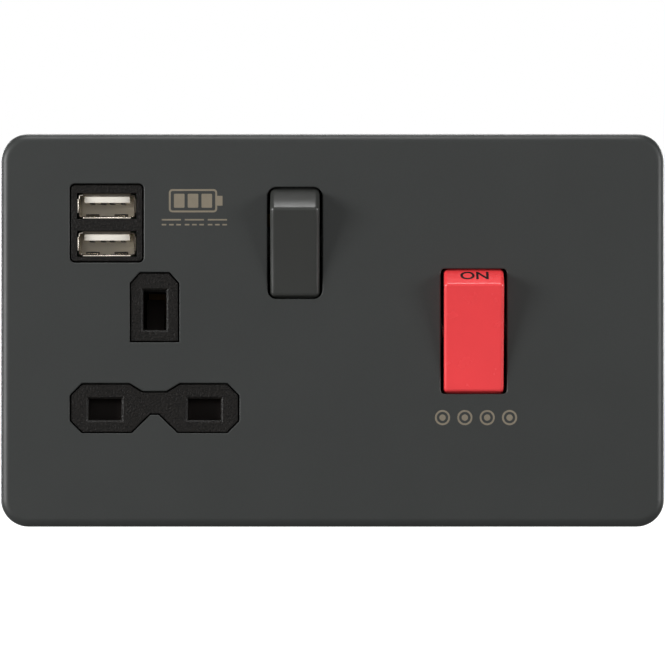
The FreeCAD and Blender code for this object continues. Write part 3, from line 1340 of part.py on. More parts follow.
def cooker_base():
    """Black rear moulding of the cooker switch, open behind its four terminals."""
    body = rounded(
        LARGE.x, LARGE.z, COOKER_W, COOKER_H, HOUSING_R, GRID_BACK_Y, COOKER_DEPTH)
    body = body.cut(cooker_valley())
    body = body.makeFillet(REAR_EDGE_R, edges_at(body, COOKER_DEPTH))
    body = joined([body] + cooker_ribs())
    g, strip_y = STRIP_GAP, COOKER_FLOOR_Y - COOKER_STRIP_T
    cuts = [centred(
        LARGE.x, LARGE.z, LARGE_SWITCH_W, 2 * LARGE.slot_half_h, GRID_BACK_Y - PAST,
        COOKER_FLOOR_Y)]
    for x, z in cooker_terminal_places():
        up = 1 if z > LARGE.z else -1
        z0, z1 = z - up * (COOKER_TERMINAL_H / 2 + FIT), LARGE.z + up * (COOKER_H / 2 + PAST)
        cuts.append(block(
            x - COOKER_TERMINAL_W / 2 - FIT, x + COOKER_TERMINAL_W / 2 + FIT, COOKER_FLOOR_Y,
            COOKER_DEPTH + PAST, min(z0, z1), max(z0, z1)))
    for side in (-1, 1):
        for up in (-1, 1):
            for x0, x1, z0, z1 in cooker_strip_runs(side, up):
                cuts.append(block(x0 - g, x1 + g, strip_y - g, COOKER_FLOOR_Y, z0 - g, z1 + g))
    screw_end = FLANGE_FRONT_Y + MODULE_HEAD_H + MODULE_SCREW_L
    cuts += [
        rod(x, GRID_BACK_Y - PAST, z, MODULE_SCREW_R, screw_end - GRID_BACK_Y + PAST + g)
        for x, z in cooker_screw_places()]
    rib = centred(
        LARGE.x, LARGE.z, PAST, 2 * LARGE.slot_half_h, LARGE.seesaw_y, COOKER_FLOOR_Y)
    return joined([without(body, cuts), rib])


def grid_terminal():
    """Earth terminal on the back of the mounting grid."""
    body = centred(
        GRID_TERMINAL_X, GRID_TERMINAL_Z, GRID_TERMINAL_W, TERMINAL_H, GRID_BACK_Y,
        GRID_BACK_Y + GRID_TERMINAL_D)
    bore_y = GRID_BACK_Y + GRID_BORE_IN
    z0 = GRID_TERMINAL_Z - TERMINAL_H
    bore = rod(GRID_TERMINAL_X, bore_y, z0, TERMINAL_BORE_R, 2 * TERMINAL_H, Z_AXIS)
    tap = rod(GRID_TERMINAL_X, bore_y, GRID_TERMINAL_Z, TERMINAL_SCREW_R, GRID_TERMINAL_D)
    return without(body, [bore, tap])


def grid_terminal_screw():
    """Clamp screw of the grid's earth terminal."""
    return clamp_screw(
        GRID_TERMINAL_X, GRID_TERMINAL_Z, GRID_BACK_Y + GRID_TERMINAL_D,
        GRID_BACK_Y + GRID_BORE_IN, TERMINAL_BORE_R, TERMINAL_SCREW_R, TERMINAL_HEAD_R,
        TERMINAL_HEAD_H)


def all_parts():
    """Every node of the unit by its name."""
    upper, lower = usb_port_places()
    top_left, top_right, bottom_left, bottom_right = cooker_terminal_places()
    return {
        "front_plate": front_plate(),
        "clip_frame": clip_frame(),
        "mounting_grid": mounting_grid(),
        "frame_screws": frame_screws(),
        "fixing_screw_left": fixing_screw(-1),
        "fixing_screw_right": fixing_screw(1),
        "socket_front": socket_front(),
        "socket_base": socket_base(),
        "socket_screws": module_screws(SOCKET_SCREWS),
        "shutter": shutter(),
        "shutter_spring": shutter_spring(),
        "live_contact": switched_contact(LIVE_X, LIVE_POLE_X, live_strip()),
        "neutral_contact": switched_contact(NEUTRAL_X, NEUTRAL_POLE_X, neutral_strip()),
        "earth_contact": earth_contact(),
        "live_fixed_contact": socket_fixed_contact(LIVE_POLE_X, live_fixed_strip()),
        "neutral_fixed_contact": socket_fixed_contact(NEUTRAL_POLE_X, neutral_fixed_strip()),
        "live_terminal": socket_terminal(LIVE_TERMINAL_X),
        "neutral_terminal": socket_terminal(NEUTRAL_TERMINAL_X),
        "earth_terminal": earth_terminal(),
        "socket_terminal_screws": socket_terminal_screws(),
        "socket_rocker": rocker(SMALL),
        "socket_plunger_live": plunger(SMALL, LIVE_POLE_X),
        "socket_plunger_neutral": plunger(SMALL, NEUTRAL_POLE_X),
        "socket_plunger_spring_live": plunger_spring(SMALL, LIVE_POLE_X),
        "socket_plunger_spring_neutral": plunger_spring(SMALL, NEUTRAL_POLE_X),
        "socket_seesaw_live": seesaw(SMALL, LIVE_POLE_X),
        "socket_seesaw_neutral": seesaw(SMALL, NEUTRAL_POLE_X),
        "usb_bezel": usb_bezel(),
        "usb_case": usb_case(),
        "usb_board": usb_board(),
        "usb_shell_upper": usb_shell(upper),
        "usb_shell_lower": usb_shell(lower),
        "usb_tongue_upper": usb_tongue(upper),
        "usb_tongue_lower": usb_tongue(lower),
        "usb_pins_upper": usb_pins(upper),
        "usb_pins_lower": usb_pins(lower),
        "usb_transformer": usb_transformer(),
        "usb_capacitors": usb_capacitors(),
        "cooker_front": cooker_front(),
        "cooker_base": cooker_base(),
        "cooker_screws": module_screws(cooker_screw_places()),
        "cooker_rocker": rocker(LARGE),
        "cooker_plunger_left": plunger(LARGE, LARGE.poles[0]),
        "cooker_plunger_right": plunger(LARGE, LARGE.poles[1]),
        "cooker_plunger_spring_left": plunger_spring(LARGE, LARGE.poles[0]),
        "cooker_plunger_spring_right": plunger_spring(LARGE, LARGE.poles[1]),
        "cooker_seesaw_left": seesaw(LARGE, LARGE.poles[0]),
        "cooker_seesaw_right": seesaw(LARGE, LARGE.poles[1]),
        "cooker_fixed_contact_left": cooker_fixed_contact(-1),
        "cooker_fixed_contact_right": cooker_fixed_contact(1),
        "cooker_pivot_contact_left": cooker_pivot_contact(-1),
        "cooker_pivot_contact_right": cooker_pivot_contact(1),
        "cooker_terminal_top_left": cooker_terminal(top_left),
        "cooker_terminal_top_right": cooker_terminal(top_right),
        "cooker_terminal_bottom_left": cooker_terminal(bottom_left),
        "cooker_terminal_bottom_right": cooker_terminal(bottom_right),
        "cooker_terminal_screws": cooker_terminal_screws(),
        "grid_terminal": grid_terminal(),
        "grid_terminal_screw": grid_terminal_screw(),
    }


def main():
    """Builds every node and writes it as a STEP file."""
    os.makedirs("parts", exist_ok=True)
    for name, shape in all_parts().items():
        shape.exportStep("parts/" + name + ".step")
        box = shape.BoundBox
        print("%-32s valid %s solids %d volume %.1f  x %.2f %.2f  y %.2f %.2f  z %.2f %.2f" % (
            name, shape.isValid(), len(shape.Solids), shape.Volume, box.XMin, box.XMax, box.YMin,
            box.YMax, box.ZMin, box.ZMax))


main()
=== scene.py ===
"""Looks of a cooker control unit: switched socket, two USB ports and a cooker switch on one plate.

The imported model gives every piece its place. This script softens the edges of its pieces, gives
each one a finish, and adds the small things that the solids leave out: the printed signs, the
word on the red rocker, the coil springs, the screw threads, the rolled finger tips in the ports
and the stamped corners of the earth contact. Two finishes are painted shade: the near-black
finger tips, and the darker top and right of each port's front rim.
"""
import json
import logging
import math
from dataclasses import dataclass, field
from enum import Enum

import bpy
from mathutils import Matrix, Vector


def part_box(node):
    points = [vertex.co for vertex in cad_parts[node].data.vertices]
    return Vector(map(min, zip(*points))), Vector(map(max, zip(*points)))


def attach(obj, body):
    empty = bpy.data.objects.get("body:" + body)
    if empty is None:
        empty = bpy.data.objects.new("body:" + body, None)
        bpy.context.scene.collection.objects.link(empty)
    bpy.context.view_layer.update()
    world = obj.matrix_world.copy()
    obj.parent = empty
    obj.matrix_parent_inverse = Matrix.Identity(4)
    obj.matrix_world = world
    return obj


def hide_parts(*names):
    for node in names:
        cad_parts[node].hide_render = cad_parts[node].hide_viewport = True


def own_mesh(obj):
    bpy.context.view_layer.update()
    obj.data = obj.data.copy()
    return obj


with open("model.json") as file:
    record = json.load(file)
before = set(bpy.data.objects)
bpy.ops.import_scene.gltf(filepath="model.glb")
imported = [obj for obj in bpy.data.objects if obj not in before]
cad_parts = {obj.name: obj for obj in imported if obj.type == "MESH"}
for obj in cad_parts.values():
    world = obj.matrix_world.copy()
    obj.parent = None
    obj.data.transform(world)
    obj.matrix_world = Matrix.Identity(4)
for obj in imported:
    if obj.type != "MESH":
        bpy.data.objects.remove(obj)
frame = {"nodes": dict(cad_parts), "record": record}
LOG = logging.getLogger("cooker_control_unit")
MM = 0.001
MERGE = 0.0005 * MM  # Points nearer to each other than this are one point.
FLAT_DEG = 0.2  # Faces that meet at less than this are one face.
UPRIGHT = (math.pi / 2, 0, 0)  # Stands a flat shape up to face the front; levels a camera.
WHITE_LIGHT = (1, 1, 1, 1)


class Body(Enum):
    """The moving groups that a piece can ride on."""

    UNIT = "unit"
    SOCKET_SWITCH = "socket_switch"
    SOCKET_SEESAWS = "socket_seesaws"
    COOKER_SWITCH = "cooker_switch"
    COOKER_SEESAWS = "cooker_seesaws"
    SHUTTER = "shutter_plate"


class Slot(Enum):
    """Material slots of the record."""

    PLATE = "plate"
    STEEL = "steel"
    SCREW = "screw_steel"
    BLACK = "black_plastic"
    GREY = "grey_rocker"
    RED = "red_rocker"
    BRASS = "brass"
    WHITE = "white_plastic"
    PORT = "port_metal"
    BOARD = "board"
    FERRITE = "ferrite"
    CAN = "can"


def linear(red: int, green: int, blue: int) -> tuple[float, float, float, float]:
    """Turns screen values from 0 to 255 into a linear colour.

    Args:
        red: Red on screen.
        green: Green on screen.
        blue: Blue on screen.

    Returns:
        The colour with an alpha of one.
    """
    def channel(value: int) -> float:
        """One channel, by the sRGB curve."""
        v = value / 255
        return v / 12.92 if v <= 0.04045 else ((v + 0.055) / 1.055) ** 2.4

    return channel(red), channel(green), channel(blue), 1.0


class NodePen:
    """Draws a material's node tree."""

    NOISE_LOW = 0.3
    NOISE_HIGH = 0.7

    def __init__(self, name: str) -> None:
        """Starts a material with only a shader and its output.

        Args:
            name: Name of the material.
        """
        self.material = bpy.data.materials.new(name)
        self.material.use_nodes = True
        self.tree = self.material.node_tree
        self.shader = self.tree.nodes["Principled BSDF"]
        self.place = self.add("ShaderNodeTexCoord").outputs["Object"]

    def add(self, kind: str, **values: object) -> bpy.types.Node:
        """Adds a node and sets its properties.

        Args:
            kind: Blender's name of the node type.
            values: Properties of the node by name.

        Returns:
            The new node.
        """
        node = self.tree.nodes.new(kind)
        for key, value in values.items():
            setattr(node, key, value)
        return node

    def join(self, source: bpy.types.NodeSocket, target: bpy.types.NodeSocket) -> None:
        """Links two sockets."""
        self.tree.links.new(source, target)

    def noise(self, scale: float, detail: float, stretch: tuple) -> bpy.types.NodeSocket:
        """Noise over the piece.

        Args:
            scale: Features for each metre.
            detail: Octaves.
            stretch: Factors along the three axes.

        Returns:
            The socket with values about one half.
        """
        mapping = self.add("ShaderNodeMapping")
        mapping.inputs["Scale"].default_value = stretch
        self.join(self.place, mapping.inputs["Vector"])
        node = self.add("ShaderNodeTexNoise")
        node.inputs["Scale"].default_value = scale
        node.inputs["Detail"].default_value = detail
        self.join(mapping.outputs["Vector"], node.inputs["Vector"])
        return node.outputs["Fac"]

    def ranged(self, source: bpy.types.NodeSocket, low: float,
               high: float) -> bpy.types.NodeSocket:
        """Maps values about one half onto a range.

        Args:
            source: Socket with the values.
            low: Result where the noise is low.
            high: Result where it is high.

        Returns:
            The socket with the result.
        """
        node = self.add("ShaderNodeMapRange")
        node.inputs["From Min"].default_value = self.NOISE_LOW
        node.inputs["From Max"].default_value = self.NOISE_HIGH
        node.inputs["To Min"].default_value = low
        node.inputs["To Max"].default_value = high
        self.join(source, node.inputs["Value"])
        return node.outputs["Result"]

    def blend(self, factor: bpy.types.NodeSocket, first: tuple,
              second: tuple) -> bpy.types.NodeSocket:
        """Mixes two colours by a factor socket.

        Args:
            factor: Socket from zero to one.
            first: Colour at zero.
            second: Colour at one.

        Returns:
            The socket with the colour.
        """
        node = self.add("ShaderNodeMixRGB")
        node.inputs["Color1"].default_value = first
        node.inputs["Color2"].default_value = second
        self.join(factor, node.inputs["Fac"])
        return node.outputs["Color"]

    def relief(self, heights: list[tuple[bpy.types.NodeSocket, float]]) -> None:
        """Raises the surface by several textures.

        Args:
            heights: Pairs of a value socket and its depth in metres.
        """
        normal = None
        for socket, depth in heights:
            bump = self.add("ShaderNodeBump")
            bump.inputs["Strength"].default_value = 1.0
            bump.inputs["Distance"].default_value = depth
            self.join(socket, bump.inputs["Height"])
            if normal is not None:
                self.join(normal, bump.inputs["Normal"])
            normal = bump.outputs["Normal"]
        self.join(normal, self.shader.inputs["Normal"])


@dataclass(frozen=True)
class Finish:
    """A surface: colour, its slow variation and specks, roughness and fine relief."""

    name: str
    colour: tuple
    colour_shift: float = 0.12
    patch_scale: float = 60.0
    roughness: tuple = (0.45, 0.55)
    grain_scale: float = 2500.0
    grain_depth: float = 0.00001
    wave_scale: float = 0.0
    wave_depth: float = 0.0
    speck: float = 0.0
    metallic: float = 0.0
    specular: float = 0.5
    coat: float = 0.0
    stretch: tuple = (1, 1, 1)
    patch_detail: float = 3.0
    grain_detail: float = 2.0
    wave_detail: float = 1.0
    wear_detail: float = 4.0
    wear_ratio: float = 2.7

    def shade(self, factor: float) -> tuple:
        """The colour times a factor, kept to at most one."""
        return tuple(min(1.0, c * factor) for c in self.colour[:3]) + (1.0,)

    def material(self) -> bpy.types.Material:
        """Builds the material once, and gives the same one after that.

        Returns:
            The material.
        """
        found = bpy.data.materials.get(self.name)
        if found is not None:
            return found
        pen = NodePen(self.name)
        spread = pen.noise(self.patch_scale, self.patch_detail, self.stretch)
        patches = pen.ranged(spread, 0.0, 1.0)
        colour = pen.blend(
            patches, self.shade(1 - self.colour_shift), self.shade(1 + self.colour_shift))
        grain = pen.noise(self.grain_scale, self.grain_detail, self.stretch)
        if self.speck:
            specks = pen.add("ShaderNodeMixRGB", blend_type="MULTIPLY")
            specks.inputs["Fac"].default_value = 1.0
            bright = pen.ranged(grain, 1 - self.speck, 1 + self.speck)
            pen.join(colour, specks.inputs["Color1"])
            pen.join(bright, specks.inputs["Color2"])
            colour = specks.outputs["Color"]
        pen.join(colour, pen.shader.inputs["Base Color"])
        wear = pen.noise(self.patch_scale * self.wear_ratio, self.wear_detail, self.stretch)
        pen.join(pen.ranged(wear, *self.roughness), pen.shader.inputs["Roughness"])
        pen.shader.inputs["Metallic"].default_value = self.metallic
        pen.shader.inputs["Specular IOR Level"].default_value = self.specular
        pen.shader.inputs["Coat Weight"].default_value = self.coat
        heights = [(grain, self.grain_depth)]
        if self.wave_depth:
            wave = pen.noise(self.wave_scale, self.wave_detail, self.stretch)
            heights.append((wave, self.wave_depth))
        pen.relief(heights)
        return pen.material


POWDER = Finish(
    "powder_coat", linear(44, 46, 45), colour_shift=0.04, patch_scale=45.0, roughness=(0.46, 0.5),
    grain_scale=3200.0, grain_depth=0.000008, wave_scale=700.0, wave_depth=0.000004, speck=0.06,
    specular=0.45)
BLACK = Finish(
    "black_moulding", linear(17, 15, 13), colour_shift=0.08, patch_scale=90.0,
    roughness=(0.4, 0.46), grain_scale=2200.0, grain_depth=0.0002, wave_scale=1100.0,
    wave_depth=0.00002, speck=1.0, specular=0.245)
REAR_BLACK = Finish(
    "rear_moulding", linear(18, 16, 14), colour_shift=0.08, patch_scale=90.0,
    roughness=(0.44, 0.52), grain_scale=2600.0, grain_depth=0.00003, wave_scale=1100.0,
    wave_depth=0.000008, speck=0.5, specular=0.3)
SHUTTER_BLACK = Finish(
    "shutter_moulding", linear(36, 30, 27), colour_shift=0.08, patch_scale=90.0,
    roughness=(0.6, 0.68), grain_scale=3000.0, grain_depth=0.00001, specular=0.2)
GREY = Finish(
    "grey_moulding", linear(47, 48, 46), colour_shift=0.04, patch_scale=80.0,
    roughness=(0.34, 0.38), grain_scale=3600.0, grain_depth=0.000005, specular=0.54)
RED = Finish(
    "red_moulding", linear(232, 63, 67), colour_shift=0.03, patch_scale=80.0,
    roughness=(0.24, 0.28), grain_scale=3000.0, grain_depth=0.000004, specular=0.55)
TONGUE = Finish(
    "tongue_moulding", linear(228, 223, 212), colour_shift=0.01, patch_scale=120.0,
    roughness=(0.35, 0.45), grain_scale=2400.0, grain_depth=0.000004)
WHITE = Finish(
    "white_moulding", linear(196, 195, 190), colour_shift=0.05, patch_scale=90.0,
    roughness=(0.35, 0.45), grain_scale=2400.0, grain_depth=0.000006)
ZINC = Finish(
    "zinc_plated_sheet", linear(186, 190, 194), colour_shift=0.16, patch_scale=130.0,
    roughness=(0.3, 0.46), grain_scale=1600.0, grain_depth=0.000004, metallic=1.0,
    stretch=(1, 1, 6))
SCREW_STEEL = Finish(
    "bright_screw_steel", linear(200, 200, 198), colour_shift=0.1, patch_scale=300.0,
    roughness=(0.22, 0.36), grain_scale=2600.0, grain_depth=0.000003, metallic=1.0)
BRASS = Finish(
    "drawn_brass", linear(206, 170, 98), colour_shift=0.12, patch_scale=220.0,
    roughness=(0.26, 0.42), grain_scale=2000.0, grain_depth=0.000004, metallic=1.0,
    stretch=(5, 1, 1))
BRONZE = Finish(
    "dark_contact_bronze", linear(84, 66, 44), colour_shift=0.14, patch_scale=260.0,
    roughness=(0.4, 0.55), grain_scale=2000.0, grain_depth=0.000004, metallic=1.0,
    stretch=(5, 1, 1))
NICKEL = Finish(
    "nickel_plated_shell", linear(236, 228, 214), colour_shift=0.06, patch_scale=240.0,
    roughness=(0.16, 0.24), grain_scale=2400.0, grain_depth=0.000002, metallic=1.0)
# Darker metal for the top and right of each port's front rim: painted shade, leaving the lit
# bottom lip and left side bright.
RIM_SHADE_METAL = Finish(
    "dull_shell_rim", linear(74, 68, 60), colour_shift=0.1, patch_scale=240.0,
    roughness=(0.4, 0.5), grain_scale=2400.0, grain_depth=0.000002, metallic=0.8, specular=0.3)
# Near-black metal for the spring finger tips in the ports: painted shade, not the colour of the
# plated metal.
TIP_SHADE_METAL = Finish(
    "shaded_finger_tips", linear(26, 24, 22), colour_shift=0.1, patch_scale=300.0,
    roughness=(0.5, 0.6), grain_scale=2400.0, grain_depth=0.000002, metallic=0.4, specular=0.2)
PIN_METAL = Finish(
    "contact_plating", linear(60, 58, 54), colour_shift=0.1, patch_scale=300.0,
    roughness=(0.3, 0.45), grain_scale=2400.0, grain_depth=0.000002, metallic=0.6)
FIBREGLASS = Finish(
    "circuit_board", linear(28, 92, 48), colour_shift=0.12, patch_scale=200.0,
    roughness=(0.35, 0.45), grain_scale=1500.0, grain_depth=0.000006, coat=0.2)
TAPE = Finish(
    "winding_tape", linear(208, 170, 52), colour_shift=0.08, patch_scale=160.0,
    roughness=(0.4, 0.5), grain_scale=1200.0, grain_depth=0.000008)
SLEEVE = Finish(
    "capacitor_sleeve", linear(34, 38, 60), colour_shift=0.06, patch_scale=200.0,
    roughness=(0.3, 0.4), grain_scale=1500.0, grain_depth=0.000004)
SPRING_STEEL = Finish(
    "spring_steel", linear(170, 172, 176), colour_shift=0.1, patch_scale=300.0,
    roughness=(0.25, 0.4), grain_scale=2600.0, grain_depth=0.000002, metallic=1.0)
PRINT = Finish(
    "tan_print", linear(120, 112, 98), colour_shift=0.06, patch_scale=400.0,
    roughness=(0.55, 0.65), grain_scale=3000.0, grain_depth=0.000004, specular=0.2)
BLACK_PRINT = Finish(
    "black_print", linear(22, 14, 15), colour_shift=0.08, patch_scale=400.0, roughness=(0.5, 0.6),
    grain_scale=3000.0, grain_depth=0.000004, specular=0.2)


def pick(*objects: bpy.types.Object) -> None:
    """Selects only these objects and makes the first one active.

    Args:
        objects: The objects.
    """
    bpy.ops.object.select_all(action="DESELECT")
    for obj in objects:
        obj.select_set(True)
    bpy.context.view_layer.objects.active = objects[0]


def edit(*steps: tuple) -> None:
    """Runs mesh operators on all of the active object's mesh.

    Args:
        steps: Pairs of an operator's name and its settings.
    """
    bpy.ops.object.mode_set(mode="EDIT")
    bpy.ops.mesh.select_all(action="SELECT")
    for name, settings in steps:
        getattr(bpy.ops.mesh, name)(**settings)
    bpy.ops.object.mode_set(mode="OBJECT")


def apply(obj: bpy.types.Object, kind: str, **settings: object) -> None:
    """Adds a modifier to the active object and applies it.

    Args:
        obj: The object.
        kind: Blender's name of the modifier type.
        settings: Its properties by name.
    """
    modifier = obj.modifiers.new(kind.lower(), kind)
    for key, value in settings.items():
        setattr(modifier, key, value)
    bpy.ops.object.modifier_apply(modifier=modifier.name)


def freeze() -> None:
    """Puts the place, turn and size of what is selected into its mesh."""
    bpy.ops.object.transform_apply(location=True, rotation=True, scale=True)


def unite(*pieces: bpy.types.Object) -> bpy.types.Object:
    """Joins pieces into the first one.

    Args:
        pieces: The pieces.

    Returns:
        The joined piece, as the active object.
    """
    pick(*pieces)
    bpy.ops.object.join()
    return bpy.context.active_object


def block(middle: Vector, size: Vector) -> bpy.types.Object:
    """Adds a plain block, to be shaped.

    Args:
        middle: Its middle.
        size: Its size along the three axes.

    Returns:
        The block, as the active object.
    """
    bpy.ops.object.select_all(action="DESELECT")
    bpy.ops.mesh.primitive_cube_add(size=1, location=middle)
    piece = bpy.context.active_object
    piece.scale = size
    freeze()
    return piece


def settle(obj: bpy.types.Object, name: str, finish: Finish, smooth_deg: float = 35.0) -> None:
    """Finishes a new piece: its place goes into its mesh, and it gets its name and material.

    Args:
        obj: The piece.
        name: Its name.
        finish: Its surface.
        smooth_deg: Edges flatter than this are shaded smooth.
    """
    pick(obj)
    freeze()
    bpy.ops.object.shade_smooth_by_angle(angle=math.radians(smooth_deg))
    obj.name = name
    obj.data.name = name
    obj.data.materials.clear()
    obj.data.materials.append(finish.material())


def install(obj: bpy.types.Object, body: Body, slot: Slot, *nodes: str) -> None:
    """Lets a piece ride on a body and stand for CAD nodes.

    Args:
        obj: The piece.
        body: The body that carries it.
        slot: The record's material slot; not used.
        nodes: CAD nodes that it replaces.
    """
    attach(obj, body.value)
    if nodes:
        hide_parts(*nodes)


@dataclass
class Dressing:
    """How a CAD node is dressed: a merged copy with softened edges and a finish."""

    node: str
    finish: Finish
    slot: Slot
    body: Body = Body.UNIT
    edge: float = 0.08 * MM
    steps: int = 2
    edge_deg: float = 38.0

    def copy(self) -> bpy.types.Object:
        """Makes the merged copy of the node.

        Returns:
            The copy, as the active object.
        """
        piece = bpy.data.objects.new(
            self.node + "_dressed", frame["nodes"][self.node].data.copy())
        bpy.context.scene.collection.objects.link(piece)
        pick(piece)
        edit(("remove_doubles", {"threshold": MERGE}),
             ("dissolve_limited", {"angle_limit": math.radians(FLAT_DEG)}))
        return piece

    def build(self) -> bpy.types.Object:
        """Makes the dressed copy and installs it.

        Returns:
            The piece.
        """
        piece = self.copy()
        self.dress(piece)
        return piece

    def dress(self, piece: bpy.types.Object) -> None:
        """Softens a copy's edges, gives it its finish and installs it.

        Args:
            piece: The copy.
        """
        if self.edge:
            apply(piece, "BEVEL", width=self.edge, segments=self.steps, limit_method="ANGLE",
                  angle_limit=math.radians(self.edge_deg), use_clamp_overlap=True)
        settle(piece, self.node + "_dressed", self.finish)
        apply(piece, "WEIGHTED_NORMAL", keep_sharp=True)
        install(piece, self.body, self.slot, self.node)


@dataclass
class Winding:
    """A wire wound round a straight line: a coil spring, or a screw's thread."""

    start: Vector
    end: Vector
    radius: float
    wire_r: float
    turns: float
    sides: int = 10
    steps: int = 20

    def wind(self) -> bpy.types.Object:
        """Winds the wire from start to end.

        Returns:
            The wire, as the active object.
        """
        bpy.ops.object.select_all(action="DESELECT")
        bpy.ops.mesh.primitive_circle_add(
            vertices=self.sides, radius=self.wire_r, fill_type="NOTHING",
            location=(self.radius, 0, 0), rotation=UPRIGHT)
        wire = bpy.context.active_object
        freeze()
        count = int(self.steps * self.turns)
        line = self.end - self.start
        apply(wire, "SCREW", axis="Z", angle=2 * math.pi * self.turns,
              screw_offset=line.length, steps=count, render_steps=count)
        edit(("remove_doubles", {"threshold": MERGE}), ("fill_holes", {"sides": 0}),
             ("normals_make_consistent", {"inside": False}))
        wire.rotation_euler = line.to_track_quat("Z", "Y").to_euler()
        wire.location = self.start
        freeze()
        return wire


@dataclass
class Sign:
    """Printed signs on the plate, made of thin flat shapes a hair above its face."""

    face_y: float
    thickness: float = 0.02 * MM
    corner_steps: int = 5
    ring_sides: int = 40
    parts: list = field(default_factory=list)

    def bar(self, x: float, z: float, width: float, height: float, corner: float = 0.0) -> None:
        """Adds a filled bar.

        Args:
            x: Middle across, in metres.
            z: Middle up.
            width: Size across.
            height: Size up.
            corner: Radius of the corners.
        """
        bpy.ops.object.select_all(action="DESELECT")
        bpy.ops.mesh.primitive_plane_add(
            size=1, location=(x, self.face_y, z), rotation=UPRIGHT)
        plane = bpy.context.active_object
        plane.scale = (width, height, 1)
        bpy.ops.object.transform_apply(location=False, rotation=False, scale=True)
        if corner:
            edit(("bevel", {
                "offset": corner, "segments": self.corner_steps, "affect": "VERTICES"}))
        self.parts.append(plane)

    def frame_bar(self, x: float, z: float, width: float, height: float, stroke: float,
                  corner: float) -> None:
        """Adds a rounded outline.

        Args:
            x: Middle across, in metres.
            z: Middle up.
            width: Outer size across.
            height: Outer size up.
            stroke: Width of the line.
            corner: Outer radius of the corners.
        """
        self.bar(x, z, width, height, corner)
        edit(("inset", {"thickness": stroke}), ("delete", {"type": "FACE"}))

    def ring(self, x: float, z: float, radius: float, stroke: float) -> None:
        """Adds a ring.

        Args:
            x: Middle across, in metres.
            z: Middle up.
            radius: Outer radius.
            stroke: Width of the line; the radius itself gives a disc.
        """
        bpy.ops.object.select_all(action="DESELECT")
        bpy.ops.mesh.primitive_circle_add(
            vertices=self.ring_sides, radius=radius, fill_type="NGON",
            location=(x, self.face_y, z), rotation=UPRIGHT)
        self.parts.append(bpy.context.active_object)
        if stroke < radius:
            edit(("inset", {"thickness": stroke}), ("delete", {"type": "FACE"}))

    def finish(self, name: str, ink: Finish) -> None:
        """Joins the shapes, gives them their thickness and lays them on the plate.

        Args:
            name: Name of the piece.
            ink: Its surface.
        """
        piece = unite(*self.parts)
        freeze()
        apply(piece, "SOLIDIFY", thickness=self.thickness, offset=0)
        settle(piece, name, ink)
        install(piece, Body.UNIT, Slot.WHITE)


@dataclass
class Plate:
    """The front plate with its printed signs.

    The battery's body, nub and bars take a share of the sign's width or height. Bars and lines
    are spaced by a pitch in their own widths, and the sign is so many of these widths across. The
    dashes' width and pitch are shares of the line above them, and a hub's is of its ring.
    """

    edge: float = 0.2 * MM
    edge_steps: int = 3
    stroke: float = 0.42 * MM
    charge_x: float = -30.6 * MM
    charge_z: float = 29.0 * MM
    charge_w: float = 12.0 * MM
    charge_h: float = 5.2 * MM
    charge_corner: float = 0.8 * MM
    battery_share: float = 0.9
    nub_share: float = 0.42
    bars_across: float = 4.2
    bar_pitch: float = 1.3
    bar_share: float = 0.6
    bar_corner: float = 0.2 * MM
    supply_x: float = -30.9 * MM
    supply_z: float = 24.2 * MM
    supply_w: float = 14.6 * MM
    supply_rise: float = 0.55 * MM
    lines_across: float = 3.4
    line_thin: float = 0.8
    line_pitch: float = 1.2
    dash_pitch: float = 0.38
    dash_share: float = 0.24
    hob_x: float = 32.1 * MM
    hob_z: float = -19.5 * MM
    hob_pitch: float = 5.0 * MM
    hob_r: float = 1.7 * MM
    hob_count: int = 4
    hub_share: float = 0.42

    def build(self) -> None:
        """Dresses the plate and prints its signs."""
        Dressing(
            "front_plate", POWDER, Slot.PLATE, edge=self.edge, steps=self.edge_steps).build()
        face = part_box("front_plate")[0].y
        self.charge_sign(face)
        self.supply_sign(face)
        self.hob_sign(face)

    def charge_sign(self, face: float) -> None:
        """Prints a battery with three bars.

        Args:
            face: Depth of the plate's face.
        """
        sign = Sign(face)
        body_w = self.charge_w * self.battery_share
        left = self.charge_x - self.charge_w / 2
        middle = left + body_w / 2
        sign.frame_bar(
            middle, self.charge_z, body_w, self.charge_h, self.stroke, self.charge_corner)
        nub_w = self.charge_w - body_w
        nub_h = self.charge_h * self.nub_share
        sign.bar(left + body_w + nub_w / 2, self.charge_z, nub_w, nub_h)
        bar_w = (body_w - 2 * self.stroke) / self.bars_across
        bar_h = self.charge_h * self.bar_share
        for step in (-1, 0, 1):
            x = middle + step * bar_w * self.bar_pitch
            sign.bar(x, self.charge_z, bar_w, bar_h, self.bar_corner)
        sign.finish("charge_sign", PRINT)

    def supply_sign(self, face: float) -> None:
        """Prints a row of direct-current signs: a line over three dashes.

        Args:
            face: Depth of the plate's face.
        """
        sign = Sign(face)
        line_w = self.supply_w / self.lines_across
        line_h = self.stroke * self.line_thin
        dash_w = line_w * self.dash_share
        for step in (-1, 0, 1):
            x = self.supply_x + step * line_w * self.line_pitch
            sign.bar(x, self.supply_z + self.supply_rise, line_w, line_h)
            for dash in (-1, 0, 1):
                dash_x = x + dash * line_w * self.dash_pitch
                sign.bar(dash_x, self.supply_z - self.supply_rise, dash_w, line_h)
        sign.finish("supply_sign", PRINT)

    def hob_sign(self, face: float) -> None:
        """Prints a row of hob rings under the cooker's rocker.

        Args:
            face: Depth of the plate's face.
        """
        sign = Sign(face)
        for step in range(self.hob_count):
            x = self.hob_x + (step - (self.hob_count - 1) / 2) * self.hob_pitch
            sign.ring(x, self.hob_z, self.hob_r, self.stroke)
            sign.ring(x, self.hob_z, self.hob_r * self.hub_share, self.hob_r)
        sign.finish("hob_sign", PRINT)


